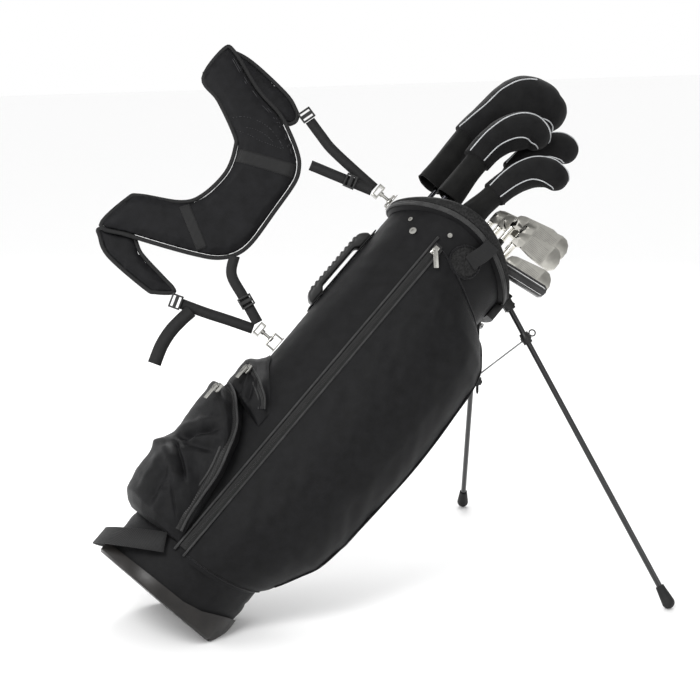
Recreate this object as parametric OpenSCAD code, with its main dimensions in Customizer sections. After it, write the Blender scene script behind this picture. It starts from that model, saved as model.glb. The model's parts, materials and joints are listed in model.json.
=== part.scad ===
// Golf club set: a stand bag leaning on its two legs, with its double-strap
// harness and a full set of clubs. Units are millimetres.
// World frame: +Z up, the bag leans towards +X, the origin is the middle of
// the flat underside of the hinged toe, on the floor.

/* [Bag] */
// Lean of the bag from upright, in degrees
lean = 46; // [40:1:50]
// Turn of the bag's seams about its own axis against the stand, in degrees
seam_turn = 30; // [20:1:40]
// Outside radius of the fabric tube
tube_r = 131; // [125:0.5:135]
// Thickness of the fabric tube with its foam
tube_wall = 3; // [2:0.5:5]
// Outside radius of the rubber boot
boot_r = 136; // [133:0.5:140]
// Outside radius of the padded collar
collar_r = 144; // [140:0.5:148]
// Lowest height of the collar's lower edge along the bag
collar_low = 832; // [800:1:850]
// Height of the inner floor along the bag
floor_top = 62; // [60:1:80]

/* [Stand] */
// Distance of the leg hinges from the bag's axis, along the lean
hinge_out = 144; // [140:1:150]
// Half of the distance between the two leg hinges
hinge_side = 54; // [45:1:65]
// Height of the leg hinges along the bag
hinge_up = 850; // [820:1:860]
// Turn of each leg outwards, in degrees
leg_turn = 32; // [25:1:40]
// Swing of each leg from folded to open, in degrees
leg_swing = 67; // [60:1:72]
// Radius of a leg tube
leg_r = 5.5; // [5:0.5:7]
// Radius of a rubber foot
foot_r = 12; // [10:0.5:15]
// Distance of the link joint down the leg
link_down = 72; // [65:1:80]
// Height of the carriage along the bag with the legs open
carriage_up = 480; // [450:1:500]

/* [Harness] */
// Distance of the D-ring bars from the bag's axis
ring_out = 150; // [148:0.5:155]
// Height of the lower D-ring along the bag
ring_low = 500; // [480:1:520]
// Height of the upper D-ring along the bag
ring_high = 851; // [840:1:860]
// Thickness of the back pad
pad_t = 14; // [10:1:20]

/* [Clubs] */
// Radius of a steel shaft
shaft_r = 4.6; // [4:0.1:5]
// Radius of a grip at its butt
grip_r = 12.5; // [12:0.1:13.5]
// Length of a grip
grip_len = 265; // [250:1:280]

/* [Hidden] */
$fn = 96;
toe_n = 72;
pin_r = 4;
toe_half = 28;
foot_x = -(toe_n * cos(lean) + pin_r * sin(lean)) - toe_half;
foot_z = pin_r - pin_r * cos(lean) + toe_n * sin(lean);
inner_r = tube_r - tube_wall;
gap = 0.4;

// Saddle-shaped edges: each is a cylinder lying along the handle-to-leg line.
saddle_low_r = 288;
saddle_top_r = 210;
collar_rise = 21;

// Leg length that puts the centre of the foot one foot radius above the floor.
hinge_height = foot_z + hinge_up * cos(lean) - hinge_out * sin(lean);
fall = cos(leg_swing) * cos(lean) + sin(leg_swing) * cos(leg_turn) * sin(lean);
leg_len = (hinge_height - foot_r) / fall;

// Carriage and link joints, in the stand's frame.
rod_n = 108;
link_side = 12;
wire_r = 1.6;
slot_n = 150;
slot_y = 22;
slot_e = slot_n * cos(leg_turn) + slot_y * sin(leg_turn);
slot_k = slot_n * sin(leg_turn) - slot_y * cos(leg_turn);
hinge_e = hinge_out * cos(leg_turn) + hinge_side * sin(leg_turn);
hinge_k = hinge_out * sin(leg_turn) - hinge_side * cos(leg_turn);
link_e = hinge_e + link_down * sin(leg_swing);
link_z = hinge_up - link_down * cos(leg_swing);
link_k = hinge_k + link_side;

// Umbrella cord: points in the stand's frame, from its outlet and back to it.
cord_r = 1.5;
cord_gap = 2.2;
cord_n = 143;
cord_z = 806;
cord_drop = 150;

// ---------- frames ----------

// Stand frame: z along the bag, x from the bag's axis towards the legs.
module stand() {
    translate([foot_x, 0, foot_z])
        rotate([0, lean, 0])
            children();
}

// Bag frame: z along the bag, x from the handle towards the stand's side.
module bag() {
    stand()
        rotate([0, 0, -seam_turn])
            children();
}

// A place on the tube's side, with local +x pointing outwards.
module on_tube(angle, height) {
    bag()
        rotate([0, 0, angle])
            translate([0, 0, height])
                children();
}

// Leg frame at its pivot: the leg runs along local -z, the pin along local y.
module leg_frame(side) {
    stand()
        translate([hinge_out, side * hinge_side, hinge_up])
            rotate([0, 0, side * leg_turn])
                rotate([0, -leg_swing, 0])
                    children();
}

// Everything below the floor plane raised by h.
module below_floor(h) {
    translate([-700, -700, h - 700])
        cube([1400, 1400, 700]);
}

module saddle(r, low) {
    translate([0, 0, low + r])
        rotate([0, 90, 0])
            cylinder(r = r, h = 400, center = true, $fn = 180);
}

// Straight bar between two points.
module bar(p, q, r) {
    d = q - p;
    len = norm(d);
    translate(p)
        rotate([0, acos(d[2] / len), atan2(d[1], d[0])])
            cylinder(r = r, h = len, $fn = 24);
}

// Flat webbing of width w along a line of points in the harness plane.
function along(line, i) = let (d = line[min(i + 1, len(line) - 1)] - line[max(i - 1, 0)])
    [-d[1], d[0]] / norm(d);

module webbing(line, w, y0, y1) {
    last = len(line) - 1;
    side_plate(concat([for (i = [0:last]) line[i] + along(line, i) * w / 2],
        [for (i = [last:-1:0]) line[i] - along(line, i) * w / 2]), y0, y1);
}

// Outline in the bag's x-z plane given a depth in y.
module side_plate(points, y0, y1) {
    translate([0, y1, 0])
        rotate([90, 0, 0])
            linear_extrude(y1 - y0)
                polygon(points);
}

// ---------- base ----------

module boot_profile() {
    polygon([[0, 0], [133, 0], [boot_r, 4], [boot_r, 34], [134.4, 70],
        [tube_r + 0.3, 70], [tube_r + 0.3, 5], [0, 5]]);
}

module base_boot() {
    color([0.11, 0.10, 0.09])
        difference() {
            stand()
                union() {
                    difference() {
                        intersection() {
                            rotate_extrude()
                                boot_profile();
                            rotate([0, 0, -seam_turn])
                                side_plate([[-150, -5], [150, -5], [150, 68], [118, 54],
                                    [76, 33], [40, 25], [-150, 20]], -150, 150);
                        }
                        translate([toe_n - 4.6, -150, -1])
                            cube([100, 300, 6.01]);
                    }
                    translate([toe_n - 12, -34, 0])
                        cube([12, 68, 5]);
                    translate([toe_n, 34, pin_r])
                        rotate([90, 0, 0])
                            cylinder(r = pin_r - 0.1, h = 68, $fn = 48);
                }
            below_floor(0.6);
        }
}

module base_toe() {
    color([0.10, 0.10, 0.10])
        stand()
            translate([toe_n, 0, pin_r])
                rotate([0, -lean, 0])
                    translate([-toe_n, 0, -pin_r])
                        union() {
                            difference() {
                                cylinder(r = tube_r - 1.5, h = 6);
                                translate([-300 + toe_n, -150, -1])
                                    cube([300, 300, 8]);
                                translate([toe_n - 1, -35.5, -1])
                                    cube([6.5, 71, 8]);
                            }
                            for (side = [-1, 1])
                                translate([toe_n, side * 70 + 34, pin_r])
                                    rotate([90, 0, 0])
                                        cylinder(r = pin_r, h = 68, $fn = 48);
                        }
}

module inner_floor() {
    color([0.05, 0.05, 0.05])
        stand()
            difference() {
                translate([0, 0, floor_top - 4])
                    cylinder(r = inner_r - 0.6, h = 4);
                translate([rod_n, 0, floor_top - 5])
                    cylinder(r = 9, h = 6, $fn = 48);
            }
}

// ---------- tube and collar ----------

module bag_shell() {
    color([0.05, 0.05, 0.055])
        difference() {
            bag()
                difference() {
                    translate([0, 0, 8])
                        cylinder(r = tube_r, h = 900);
                    translate([0, 0, 7])
                        cylinder(r = inner_r, h = 902);
                    saddle(saddle_low_r, collar_low);
                }
            stand()
                translate([inner_r - 20, -7, carriage_up - 70])
                    cube([40, 14, 90]);
            // Panel joints: the wall is 18 flat-hung panels.
            bag()
                for (i = [0:17])
                    rotate([0, 0, i * 20 + 10])
                        translate([100, -0.1, -50])
                            cube([60, 0.2, 1100]);
            below_floor(8);
        }
}

module collar_ring() {
    color([0.04, 0.04, 0.04])
        difference() {
            bag()
                difference() {
                    intersection() {
                        translate([0, 0, collar_low])
                            cylinder(r = collar_r, h = 90);
                        saddle(saddle_low_r, collar_low + gap);
                    }
                    translate([0, 0, collar_low - 1])
                        cylinder(r = 126, h = 92);
                    saddle(saddle_top_r, collar_low + collar_rise);
                }
            stand()
                intersection() {
                    translate([0, 0, 780])
                        difference() {
                            cylinder(r = 170, h = 82);
                            translate([0, 0, -1])
                                cylinder(r = 137.5, h = 84);
                        }
                    bracket_wedge(33.5);
                }
        }
}

module top_divider() {
    color([0.06, 0.06, 0.06])
        bag()
            intersection() {
                translate([0, 0, 817.5])
                    cylinder(r = inner_r - 0.5, h = 13);
                union() {
                    translate([-42, -130, 810])
                        cube([8, 260, 30]);
                    translate([36, -130, 810])
                        cube([8, 165, 30]);
                    translate([-42, -46, 810])
                        cube([86, 8, 30]);
                    translate([-42, 27, 810])
                        cube([86, 8, 30]);
                }
            }
}

module stays() {
    color([0.7, 0.7, 0.68])
        for (angle = [180, 125, -60])
            bag()
                rotate([0, 0, angle])
                    translate([inner_r - 3.6, 0, floor_top + gap])
                        cylinder(r = 3, h = 754, $fn = 32);
}

module rivet(angle, height, r) {
    on_tube(angle, height)
        translate([tube_r + 0.2, 0, 0])
            rotate([0, 90, 0])
                difference() {
                    cylinder(r = r, h = 2.2, $fn = 40);
                    translate([0, 0, 1.2])
                        cylinder(r = r * 0.4, h = 2, $fn = 32);
                }
}

module rivets() {
    color([0.85, 0.85, 0.84])
        union() {
            rivet(-134, 824, 4.5);
            rivet(-124, 806, 7);
            rivet(-97, 838, 4.5);
            rivet(134, 824, 4.5);
            rivet(124, 806, 7);
        }
}

// ---------- pockets ----------

module side_pocket() {
    color([0.05, 0.05, 0.055])
        bag()
            difference() {
                intersection() {
                    translate([0, 0, 60])
                        linear_extrude(780)
                            polygon([[-10, -120], [-10, -136], [8, -141], [40, -151], [80, -156],
                                [125, -147], [163, -123], [192, -88], [207, -58], [211, -40],
                                [204, -27], [168, -16], [124, -8], [90, -60]]);
                    side_plate([[-10, 80], [45, 84], [88, 96], [125, 128], [165, 178], [190, 224],
                        [202, 290], [209, 430], [211, 530], [206, 600], [201, 668], [192, 700],
                        [162, 735], [135, 752], [88, 772], [30, 798], [-10, 811]], -170, 0);
                }
                cylinder(r = tube_r + 0.6, h = 900);
            }
}

module main_zip_tape() {
    color([0.3, 0.3, 0.3])
        bag()
            translate([-27, -tube_r - 3.2, 95])
                cube([15, 2.6, 716]);
}

// Slider body with its post; local -y points outwards.
module zip_slider() {
    translate([-5, -6, -9])
        cube([10, 5.4, 18]);
    rotate([90, 0, 0])
        cylinder(r = 2, h = 13, $fn = 40);
}

// Pull tab hanging on the post and turned by the given angle.
module zip_pull(turn, len) {
    rotate([0, -turn, 0])
        difference() {
            union() {
                translate([-4.5, -12.2, -len])
                    cube([9, 2.4, len]);
                rotate([90, 0, 0])
                    translate([0, 0, 9.8])
                        cylinder(r = 4.5, h = 2.4, $fn = 40);
            }
            rotate([90, 0, 0])
                cylinder(r = 2.06, h = 14, $fn = 40);
        }
}

module main_zip_place() {
    bag()
        translate([-19.5, -tube_r - 3.6, 796])
            children();
}

module main_zip_slider() {
    color([0.8, 0.8, 0.78])
        main_zip_place()
            zip_slider();
}

module main_zip_pull() {
    color([0.8, 0.8, 0.78])
        main_zip_place()
            zip_pull(42, 34);
}

module ball_pocket() {
    color([0.05, 0.05, 0.055])
        bag()
            difference() {
                intersection() {
                    translate([0, 0, 60])
                        linear_extrude(340)
                            polygon([[-34, -120], [-38, -138], [-66, -153], [-106, -153],
                                [-142, -130], [-166, -95], [-180, -50], [-178, -15],
                                [-160, 8], [-131, 16], [-100, 0]]);
                    side_plate([[-34, 98], [-36, 150], [-48, 235], [-66, 300], [-94, 345],
                        [-126, 368], [-150, 376], [-166, 372], [-172, 330], [-173, 250],
                        [-184, 207], [-176, 150], [-150, 98]], -170, 30);
                }
                cylinder(r = tube_r + 0.6, h = 900);
            }
}

module accessory_pocket() {
    color([0.05, 0.05, 0.055])
        bag()
            difference() {
                intersection() {
                    translate([0, 0, 300])
                        linear_extrude(200)
                            polygon([[-60, -110], [-66, -124], [-95, -126], [-125, -108],
                                [-148, -78], [-158, -40], [-158, -12], [-148, 8],
                                [-131, 14], [-100, 0]]);
                    side_plate([[-64, 379], [-80, 403], [-106, 420], [-122, 444], [-128, 474],
                        [-137, 476], [-148, 446], [-158, 415], [-160, 379]], -160, 30);
                }
                cylinder(r = tube_r + 0.6, h = 900);
            }
}

// Places of the two smaller zips' sliders, on their pockets' outer faces.
module ball_zip_place() {
    bag()
        translate([-154, -113.4, 352])
            rotate([0, 0, -56])
                translate([0, -0.8, 0])
                    children();
}

module accessory_zip_place() {
    bag()
        translate([-136.5, -93, 415])
            rotate([0, 0, -53])
                translate([0, -0.8, 0])
                    children();
}

module pocket_sliders() {
    color([0.8, 0.8, 0.78])
        union() {
            ball_zip_place()
                zip_slider();
            accessory_zip_place()
                zip_slider();
        }
}

module ball_zip_pull() {
    color([0.8, 0.8, 0.78])
        ball_zip_place()
            zip_pull(4, 30);
}

module accessory_zip_pull() {
    color([0.8, 0.8, 0.78])
        accessory_zip_place()
            zip_pull(4, 26);
}

// ---------- handles and trim ----------

module glove_patch() {
    color([0.04, 0.04, 0.04])
        on_tube(-74, 822)
            translate([tube_r + 0.4, 0, 0])
                rotate([0, 90, 0])
                    union() {
                        cylinder(r = 20, h = 4);
                        cylinder(r = 16, h = 7);
                        for (i = [0:23])
                            rotate([0, 0, i * 15])
                                translate([20, 0, 0])
                                    cylinder(r = 2.2, h = 5, $fn = 20);
                    }
}

module lift_handle() {
    outer = -156;
    color([0.05, 0.05, 0.05])
        bag()
            union() {
                side_plate([[-131.6, 600], [-131.6, 624], [-148, 640], [-148, 734],
                    [-131.6, 750], [-131.6, 774], [-141, 774], [outer, 752],
                    [outer, 622], [-141, 600]], -17, 17);
                for (i = [0:8])
                    translate([outer, 17, 634 + i * 13.25])
                        rotate([90, 0, 0])
                            cylinder(r = 3, h = 34, $fn = 24);
            }
}

module grab_loop() {
    color([0.06, 0.06, 0.06])
        bag()
            translate([-38, 0, 84])
                rotate([0, -22, 0])
                    difference() {
                        translate([0, 0, -20])
                            cylinder(r = 136, h = 38);
                        translate([0, 0, -21])
                            cylinder(r = 134, h = 40);
                        translate([6, -150, -60])
                            cube([150, 300, 120]);
                    }
}

// ---------- stand ----------

// Wedge of the stand frame within the given angle of the lean direction.
module bracket_wedge(half) {
    translate([0, 0, 700])
        linear_extrude(300)
            polygon([[0, 0], [220, -220 * tan(half)], [220, 220 * tan(half)]]);
}

module hinge_bracket() {
    color([0.07, 0.07, 0.07])
        difference() {
            union() {
                stand()
                    intersection() {
                        bracket_wedge(33);
                        difference() {
                            union() {
                                translate([0, 0, 800])
                                    cylinder(r = 146.5, h = 30);
                                translate([0, 0, 829])
                                    cylinder(r = 146.5, h = 32);
                            }
                            translate([0, 0, 799])
                                cylinder(r = tube_r + 0.6, h = 31);
                            translate([0, 0, 829.9])
                                cylinder(r = 138.2, h = 40);
                        }
                    }
                for (side = [-1, 1])
                    hinge_ears(side);
            }
            for (side = [-1, 1])
                hinge_frame(side)
                    rotate([90, 0, 0])
                        cylinder(r = 14.8, h = 12.8, center = true);
        }
    color([0.8, 0.8, 0.8])
        for (side = [-1, 1])
            hinge_frame(side)
                rotate([90, 0, 0])
                    cylinder(r = 3, h = 17, center = true, $fn = 48);
}

// Hinge place without the leg's swing; local y along the pin.
module hinge_frame(side) {
    stand()
        translate([hinge_out, side * hinge_side, hinge_up])
            rotate([0, 0, side * leg_turn])
                children();
}

module hinge_ears(side) {
    hinge_frame(side)
        for (y = [-9.4, 6.4])
            translate([-11, y, -9])
                cube([20, 3, 18]);
}

module leg_tube(side) {
    color([0.05, 0.05, 0.05])
        leg_frame(side)
            translate([0, 0, -leg_len + 14])
                cylinder(r = leg_r, h = leg_len - 24.3, $fn = 48);
}

module leg_fittings(side) {
    color([0.08, 0.08, 0.08])
        leg_frame(side)
            union() {
                difference() {
                    translate([-10, -6, -10])
                        cube([20, 12, 20]);
                    rotate([90, 0, 0])
                        cylinder(r = 3.05, h = 20, center = true, $fn = 48);
                }
                difference() {
                    union() {
                        translate([0, 0, -link_down - 11])
                            cylinder(r = 9, h = 22, $fn = 48);
                        translate([0, 0, -link_down - 4])
                            cylinder(r = 10.5, h = 8, $fn = 48);
                    }
                    translate([0, 0, -link_down - 12])
                        cylinder(r = leg_r + 0.1, h = 24, $fn = 48);
                }
                translate([16, 0, -link_down + 4])
                    rotate([90, 0, 0])
                        rotate_extrude($fn = 48)
                            translate([6, 0])
                                circle(r = 1.4, $fn = 24);
                translate([0, -side * 9.5, -link_down])
                    rotate([side * 90, 0, 0])
                        cylinder(r = 2, h = 7, $fn = 40);
            }
}

module leg_foot(side) {
    color([0.06, 0.06, 0.06])
        leg_frame(side)
            difference() {
                union() {
                    translate([0, 0, -leg_len])
                        sphere(r = foot_r, $fn = 48);
                    translate([0, 0, -leg_len])
                        cylinder(r1 = foot_r, r2 = 8, h = 34, $fn = 48);
                }
                translate([0, 0, -leg_len + 13.8])
                    cylinder(r = leg_r + 0.1, h = 30, $fn = 48);
            }
}

// Point of the stand frame from its place in a leg's swing plane.
function swing_point(side, e, k, z) = [e * cos(leg_turn) + k * sin(leg_turn),
    side * (e * sin(leg_turn) - k * cos(leg_turn)), z];

module link_wire(side) {
    top = swing_point(side, link_e, link_k + 2, link_z);
    low = swing_point(side, slot_e, slot_k - 5, carriage_up);
    d = low - top;
    reach = 6 / norm(d);
    color([0.2, 0.2, 0.2])
        stand()
            union() {
                bar(top + d * reach, low, wire_r);
                bar(low, swing_point(side, slot_e, slot_k + 4, carriage_up), wire_r);
                translate(low)
                    sphere(r = wire_r, $fn = 24);
                translate(top)
                    rotate([0, 0, side * leg_turn])
                        rotate([90, 0, 0])
                            difference() {
                                cylinder(r = 6.2, h = 3.6, center = true, $fn = 40);
                                cylinder(r = 2.06, h = 5, center = true, $fn = 40);
                            }
            }
}

module carriage_wing(side) {
    rotate([0, 0, side * leg_turn])
        difference() {
            translate([119, side * slot_k * -1 - 1.5, carriage_up - 22])
                cube([36, 3, 33]);
            for (i = [0:6])
                translate([slot_e + i * 1.1, -side * slot_k, carriage_up - i * 2])
                    rotate([90, 0, 0])
                        cylinder(r = 3.2, h = 8, center = true, $fn = 32);
        }
}

module push_rod() {
    color([0.35, 0.35, 0.35])
        stand()
            union() {
                translate([rod_n, 0, floor_top + 1])
                    cylinder(r = 3, h = carriage_up - floor_top + 10, $fn = 32);
                translate([rod_n, 0, floor_top])
                    cylinder(r = 6, h = 5, $fn = 40);
                translate([rod_n - 4, -4, carriage_up - 6])
                    cube([40, 8, 12]);
                translate([134, -14, carriage_up - 14])
                    cube([9, 28, 25]);
                for (side = [-1, 1])
                    carriage_wing(side);
            }
}

// ---------- umbrella cord ----------

function down(n, z, s) = [n + s * sin(lean), 0, z - s * cos(lean)];
function strand(y, s) = down(cord_n, cord_z, s) + [0, y, 0];

cord_points = concat(
    [for (s = [0, 12, 26, 42, 60, 80, 100, 120, 138]) strand(-cord_gap, s)],
    [strand(-2, 146), strand(-1.3, 149.4), strand(0, 150.6), strand(1.3, 149.4), strand(2, 146)],
    [for (s = [138, 120, 100, 80, 60, 42, 26, 12, 0]) strand(cord_gap, s)]);

module umbrella_cord() {
    color([0.03, 0.03, 0.03])
        stand()
            for (i = [0:len(cord_points) - 2]) {
                bar(cord_points[i], cord_points[i + 1], cord_r);
                translate(cord_points[i + 1])
                    sphere(r = cord_r, $fn = 16);
            }
}

module cord_toggle() {
    color([0.05, 0.05, 0.05])
        stand()
            translate(down(cord_n, cord_z, 126))
                rotate([0, -lean, 0])
                    difference() {
                        union() {
                            translate([0, 0, -7])
                                cylinder(r = 8, h = 14, $fn = 48);
                            translate([0, 0, 0])
                                rotate([90, 0, 0])
                                    cylinder(r = 4.5, h = 22, center = true, $fn = 40);
                        }
                        translate([0, 0, -12])
                            cylinder(r = 4.2, h = 24, $fn = 40);
                    }
}

// ---------- harness ----------

module harness_pad() {
    color([0.05, 0.05, 0.055])
        bag()
            side_plate([[-582, 872], [-573, 800], [-523, 788], [-457, 757], [-438, 738],
                [-420, 690], [-424, 628], [-446, 590], [-514, 548], [-528, 528], [-532, 456],
                [-482, 474], [-411, 506], [-357, 532], [-325, 552], [-302, 578], [-294, 617],
                [-300, 691], [-308, 760], [-320, 789], [-341, 809], [-378, 830], [-417, 846],
                [-480, 855], [-560, 884]], -pad_t / 2, pad_t / 2);
}

module harness_arms() {
    color([0.05, 0.05, 0.055])
        bag()
            for (plate = [
                [[-580, 868], [-572, 882], [-525, 893], [-436, 888], [-402, 877], [-388, 866],
                    [-386, 852], [-404, 838], [-470, 836], [-560, 846]],
                [[-530, 455], [-522, 441], [-483, 423], [-392, 421], [-372, 427], [-345, 450],
                    [-352, 458], [-380, 462], [-440, 470], [-480, 486]]])
                side_plate(plate, pad_t / 2 + gap, pad_t / 2 + 11);
}

module harness_straps() {
    color([0.05, 0.05, 0.05])
        bag()
            union() {
                webbing([[-366, 874], [-300, 858], [-186, 853]], 20, 4, 6);
                webbing([[-306, 806], [-272, 817], [-186, 844]], 20, -4, -2);
                webbing([[-318, 444], [-186, 494]], 20, 4, 6);
                webbing([[-303, 576], [-284, 542], [-186, 507]], 20, -4, -2);
                webbing([[-297, 440], [-301, 378], [-284, 322]], 25, 0, 2);
            }
}

module ladder_buckle(x, z, turn, y) {
    bag()
        translate([x, y, z])
            rotate([0, turn, 0])
                difference() {
                    cube([22, 5, 27], center = true);
                    for (dx = [-5.5, 5.5])
                        translate([dx, 0, 0])
                            cube([4.5, 8, 21.5], center = true);
                }
}

module harness_buckles() {
    color([0.06, 0.06, 0.06])
        union() {
            ladder_buckle(-377.5, 877, 14, 0.8);
            ladder_buckle(-330, 439, -20, 0.8);
            ladder_buckle(-230, 523, 20, -7);
            ladder_buckle(-230, 830, -17, -7);
        }
}

// Snap hook on a D-ring bar: a strap loop, a body and a running eye.
module snap_hook(height) {
    bag()
        translate([-ring_out, 0, height])
            union() {
                difference() {
                    union() {
                        cylinder(r = 3.7, h = 9, center = true, $fn = 48);
                        translate([-20, 0, 0])
                            rotate([0, 90, 0])
                                cylinder(r = 3, h = 16.5, $fn = 32);
                    }
                    cylinder(r = 2.06, h = 12, center = true, $fn = 48);
                }
                translate([-22.5, 0, 0])
                    rotate([0, 90, 0])
                        cylinder(r = 5, h = 6, $fn = 40);
                difference() {
                    translate([-34, -7.5, -13])
                        cube([12.5, 15, 26]);
                    translate([-31.5, -8, -10])
                        cube([7.5, 16, 20]);
                }
            }
}

module harness_hooks() {
    color([0.85, 0.85, 0.84])
        union() {
            snap_hook(ring_low);
            snap_hook(ring_high);
        }
}

module d_ring(height, back) {
    bag()
        translate([-ring_out, 0, height])
            union() {
                cylinder(r = 2, h = 26, center = true, $fn = 40);
                for (z = [-13, 13]) {
                    translate([0, 0, z])
                        rotate([0, 90, 0])
                            cylinder(r = 2, h = ring_out - back - 1.6, $fn = 40);
                    translate([0, 0, z])
                        sphere(r = 2, $fn = 40);
                }
                translate([ring_out - back - 2, -8, -17])
                    cube([1.6, 16, 34]);
            }
}

module d_rings() {
    color([0.85, 0.85, 0.84])
        union() {
            d_ring(ring_low, tube_r);
            d_ring(ring_high, collar_r);
        }
}

// ---------- clubs ----------

// Each club: x and y of its shaft in the bag frame; irons and putter add the heel's height.
driver_at = [-97, 35];
fairway_at = [-72, -38];
near_hybrid_at = [-8, -92];
far_hybrid_at = [2, 12];
iron_at = [[24, 102, 1012], [43, 76, 1006], [62, 49, 1014], [84, 25, 1008], [85, -2, 973],
    [98, -29, 917]];
putter_at = [96, -57, 886];

module club_frame(at) {
    bag()
        translate([at[0], at[1], 0])
            children();
}

// Grip and steel shaft from the inner floor up to the given height.
module club_shaft(top) {
    base = floor_top + 0.8;
    color([0.75, 0.75, 0.76])
        union() {
            translate([0, 0, base])
                cylinder(r1 = grip_r, r2 = 8.2, h = grip_len, $fn = 40);
            translate([0, 0, base + 2])
                cylinder(r = shaft_r, h = top - base - 2, $fn = 32);
        }
}

// Iron head: the sole looks up, its toe points along local +x.
module iron_head(heel, loft) {
    hosel = 62;
    color([0.72, 0.70, 0.67])
        union() {
            difference() {
                translate([0, 0, heel - hosel - 12])
                    cylinder(r = 6.6, h = hosel - 2, $fn = 40);
                translate([0, 0, heel - hosel - 13])
                    cylinder(r = shaft_r + 0.1, h = 31.2, $fn = 40);
            }
            translate([0, 0, heel])
                rotate([-loft, 0, 0])
                    union() {
                        side_plate([[-6.4, -34], [-6, -14], [-2, -4], [7, 2], [34, 10], [64, 19],
                            [75, 18], [84, 10], [90, -4], [90, -20], [82, -30], [60, -33],
                            [34, -33], [12, -30], [6.4, -34]], -2.6, 2.6);
                        side_plate([[-4, -10], [-2, -4], [7, 2], [34, 10], [64, 19], [74, 17],
                            [72, 8], [36, -1], [6, -9]], -2.6, 9);
                    }
        }
}

module putter_head_shape(heel) {
    color([0.12, 0.12, 0.12])
        difference() {
            union() {
                translate([0, 0, heel - 60])
                    cylinder(r = 6.2, h = 58, $fn = 40);
                translate([0, 0, heel])
                    rotate([0, -8, 0])
                        union() {
                            side_plate([[-8, 2], [84, 2], [90, -2], [92, -9], [90, -16],
                                [84, -20], [-4, -20], [-8, -16]], -10, 10);
                            side_plate([[-8, 2], [84, 2], [90, -2], [91, -7], [-8, -7]],
                                -12, 12);
                        }
            }
            translate([0, 0, heel - 61])
                cylinder(r = shaft_r + 0.1, h = 31.2, $fn = 40);
        }
}

// Two rounded lobes joined, the plain form of a wood's head or its cover.
module lobes(p, q, r1, r2) {
    hull() {
        translate(p)
            sphere(r = r1, $fn = 32);
        translate(q)
            sphere(r = r2, $fn = 32);
    }
}

// Wood: a head inside its cover, with grip and shaft.
module wood_club(at, p, q, r1, r2, flat) {
    club_frame(at)
        union() {
            club_shaft(p[2] - r1 * 0.5);
            intersection() {
                lobes(p, q, r1 - 10, r2 - 8);
                translate([-200, p[1] - 200, p[2] - flat])
                    cube([400, 400, 2 * flat]);
            }
            translate([0, 0, p[2] - r1 - 42])
                cylinder(r = 7, h = r1 + 20, $fn = 32);
        }
}

module wood_cover(at, p, q, r1, r2, neck, low) {
    wall = 2.5;
    color([0.04, 0.04, 0.045])
        club_frame(at)
            difference() {
                union() {
                    lobes(p, q, r1, r2);
                    sock(p, r1 * 0.8, neck, low, 0);
                }
                lobes(p, q, r1 - wall, r2 - wall);
                sock(p, r1 * 0.8 - wall, neck, low - 1, wall);
            }
}

// Knitted neck: neck holds its x, y and radius at the given height.
module sock(p, r, neck, low, wall) {
    hull() {
        translate(p)
            sphere(r = r, $fn = 32);
        translate([neck[0], neck[1], low])
            cylinder(r = neck[2] - wall, h = 4, $fn = 32);
    }
}

module driver_club() {
    wood_club(driver_at, [15, 29, 1196], [58, 29, 1218], 62, 43, 32);
}

module driver_cover() {
    wood_cover(driver_at, [15, 29, 1196], [58, 29, 1218], 62, 43, [-13, 4, 29], 936);
}

module fairway_club() {
    wood_club(fairway_at, [26, 0, 1107], [44, 0, 1126], 42, 34, 20);
}

module fairway_cover() {
    wood_cover(fairway_at, [26, 0, 1107], [44, 0, 1126], 42, 34, [0, 0, 27], 922);
}

module near_hybrid_club() {
    wood_club(near_hybrid_at, [30, 0, 1052], [70, 0, 1069], 33, 28, 16);
}

module near_hybrid_cover() {
    wood_cover(near_hybrid_at, [30, 0, 1052], [70, 0, 1069], 33, 28, [0, 0, 23], 926);
}

module far_hybrid_club() {
    wood_club(far_hybrid_at, [22, -2, 1140], [34, -2, 1163], 33, 29, 16);
}

module far_hybrid_cover() {
    wood_cover(far_hybrid_at, [22, -2, 1140], [34, -2, 1163], 33, 29, [0, 0, 21], 1000);
}

module iron_shaft(i) {
    club_frame(iron_at[i])
        club_shaft(iron_at[i][2] - 51);
}

module iron(i) {
    club_frame(iron_at[i])
        iron_head(iron_at[i][2], 12);
}

module putter_shaft() {
    club_frame(putter_at)
        club_shaft(putter_at[2] - 31);
}

module putter_head() {
    club_frame(putter_at)
        putter_head_shape(putter_at[2]);
}

base_boot();
base_toe();
inner_floor();
bag_shell();
collar_ring();
top_divider();
stays();
rivets();
side_pocket();
main_zip_tape();
main_zip_slider();
main_zip_pull();
ball_pocket();
accessory_pocket();
pocket_sliders();
ball_zip_pull();
accessory_zip_pull();
glove_patch();
lift_handle();
grab_loop();
hinge_bracket();
leg_tube(-1);  // near_leg_tube
leg_fittings(-1);  // near_leg_fittings
leg_foot(-1);  // near_leg_foot
leg_tube(1);  // far_leg_tube
leg_fittings(1);  // far_leg_fittings
leg_foot(1);  // far_leg_foot
link_wire(-1);  // near_link
link_wire(1);  // far_link
push_rod();
umbrella_cord();
cord_toggle();
harness_pad();
harness_arms();
harness_straps();
harness_buckles();
harness_hooks();
d_rings();
driver_club();
driver_cover();
fairway_club();
fairway_cover();
near_hybrid_club();
near_hybrid_cover();
far_hybrid_club();
far_hybrid_cover();
iron(0);  // iron_a_head
iron_shaft(0);  // iron_a_shaft
iron(1);  // iron_b_head
iron_shaft(1);  // iron_b_shaft
iron(2);  // iron_c_head
iron_shaft(2);  // iron_c_shaft
iron(3);  // iron_d_head
iron_shaft(3);  // iron_d_shaft
iron(4);  // iron_e_head
iron_shaft(4);  // iron_e_shaft
iron(5);  // iron_f_head
iron_shaft(5);  // iron_f_shaft
putter_head();
putter_shaft();
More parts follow.
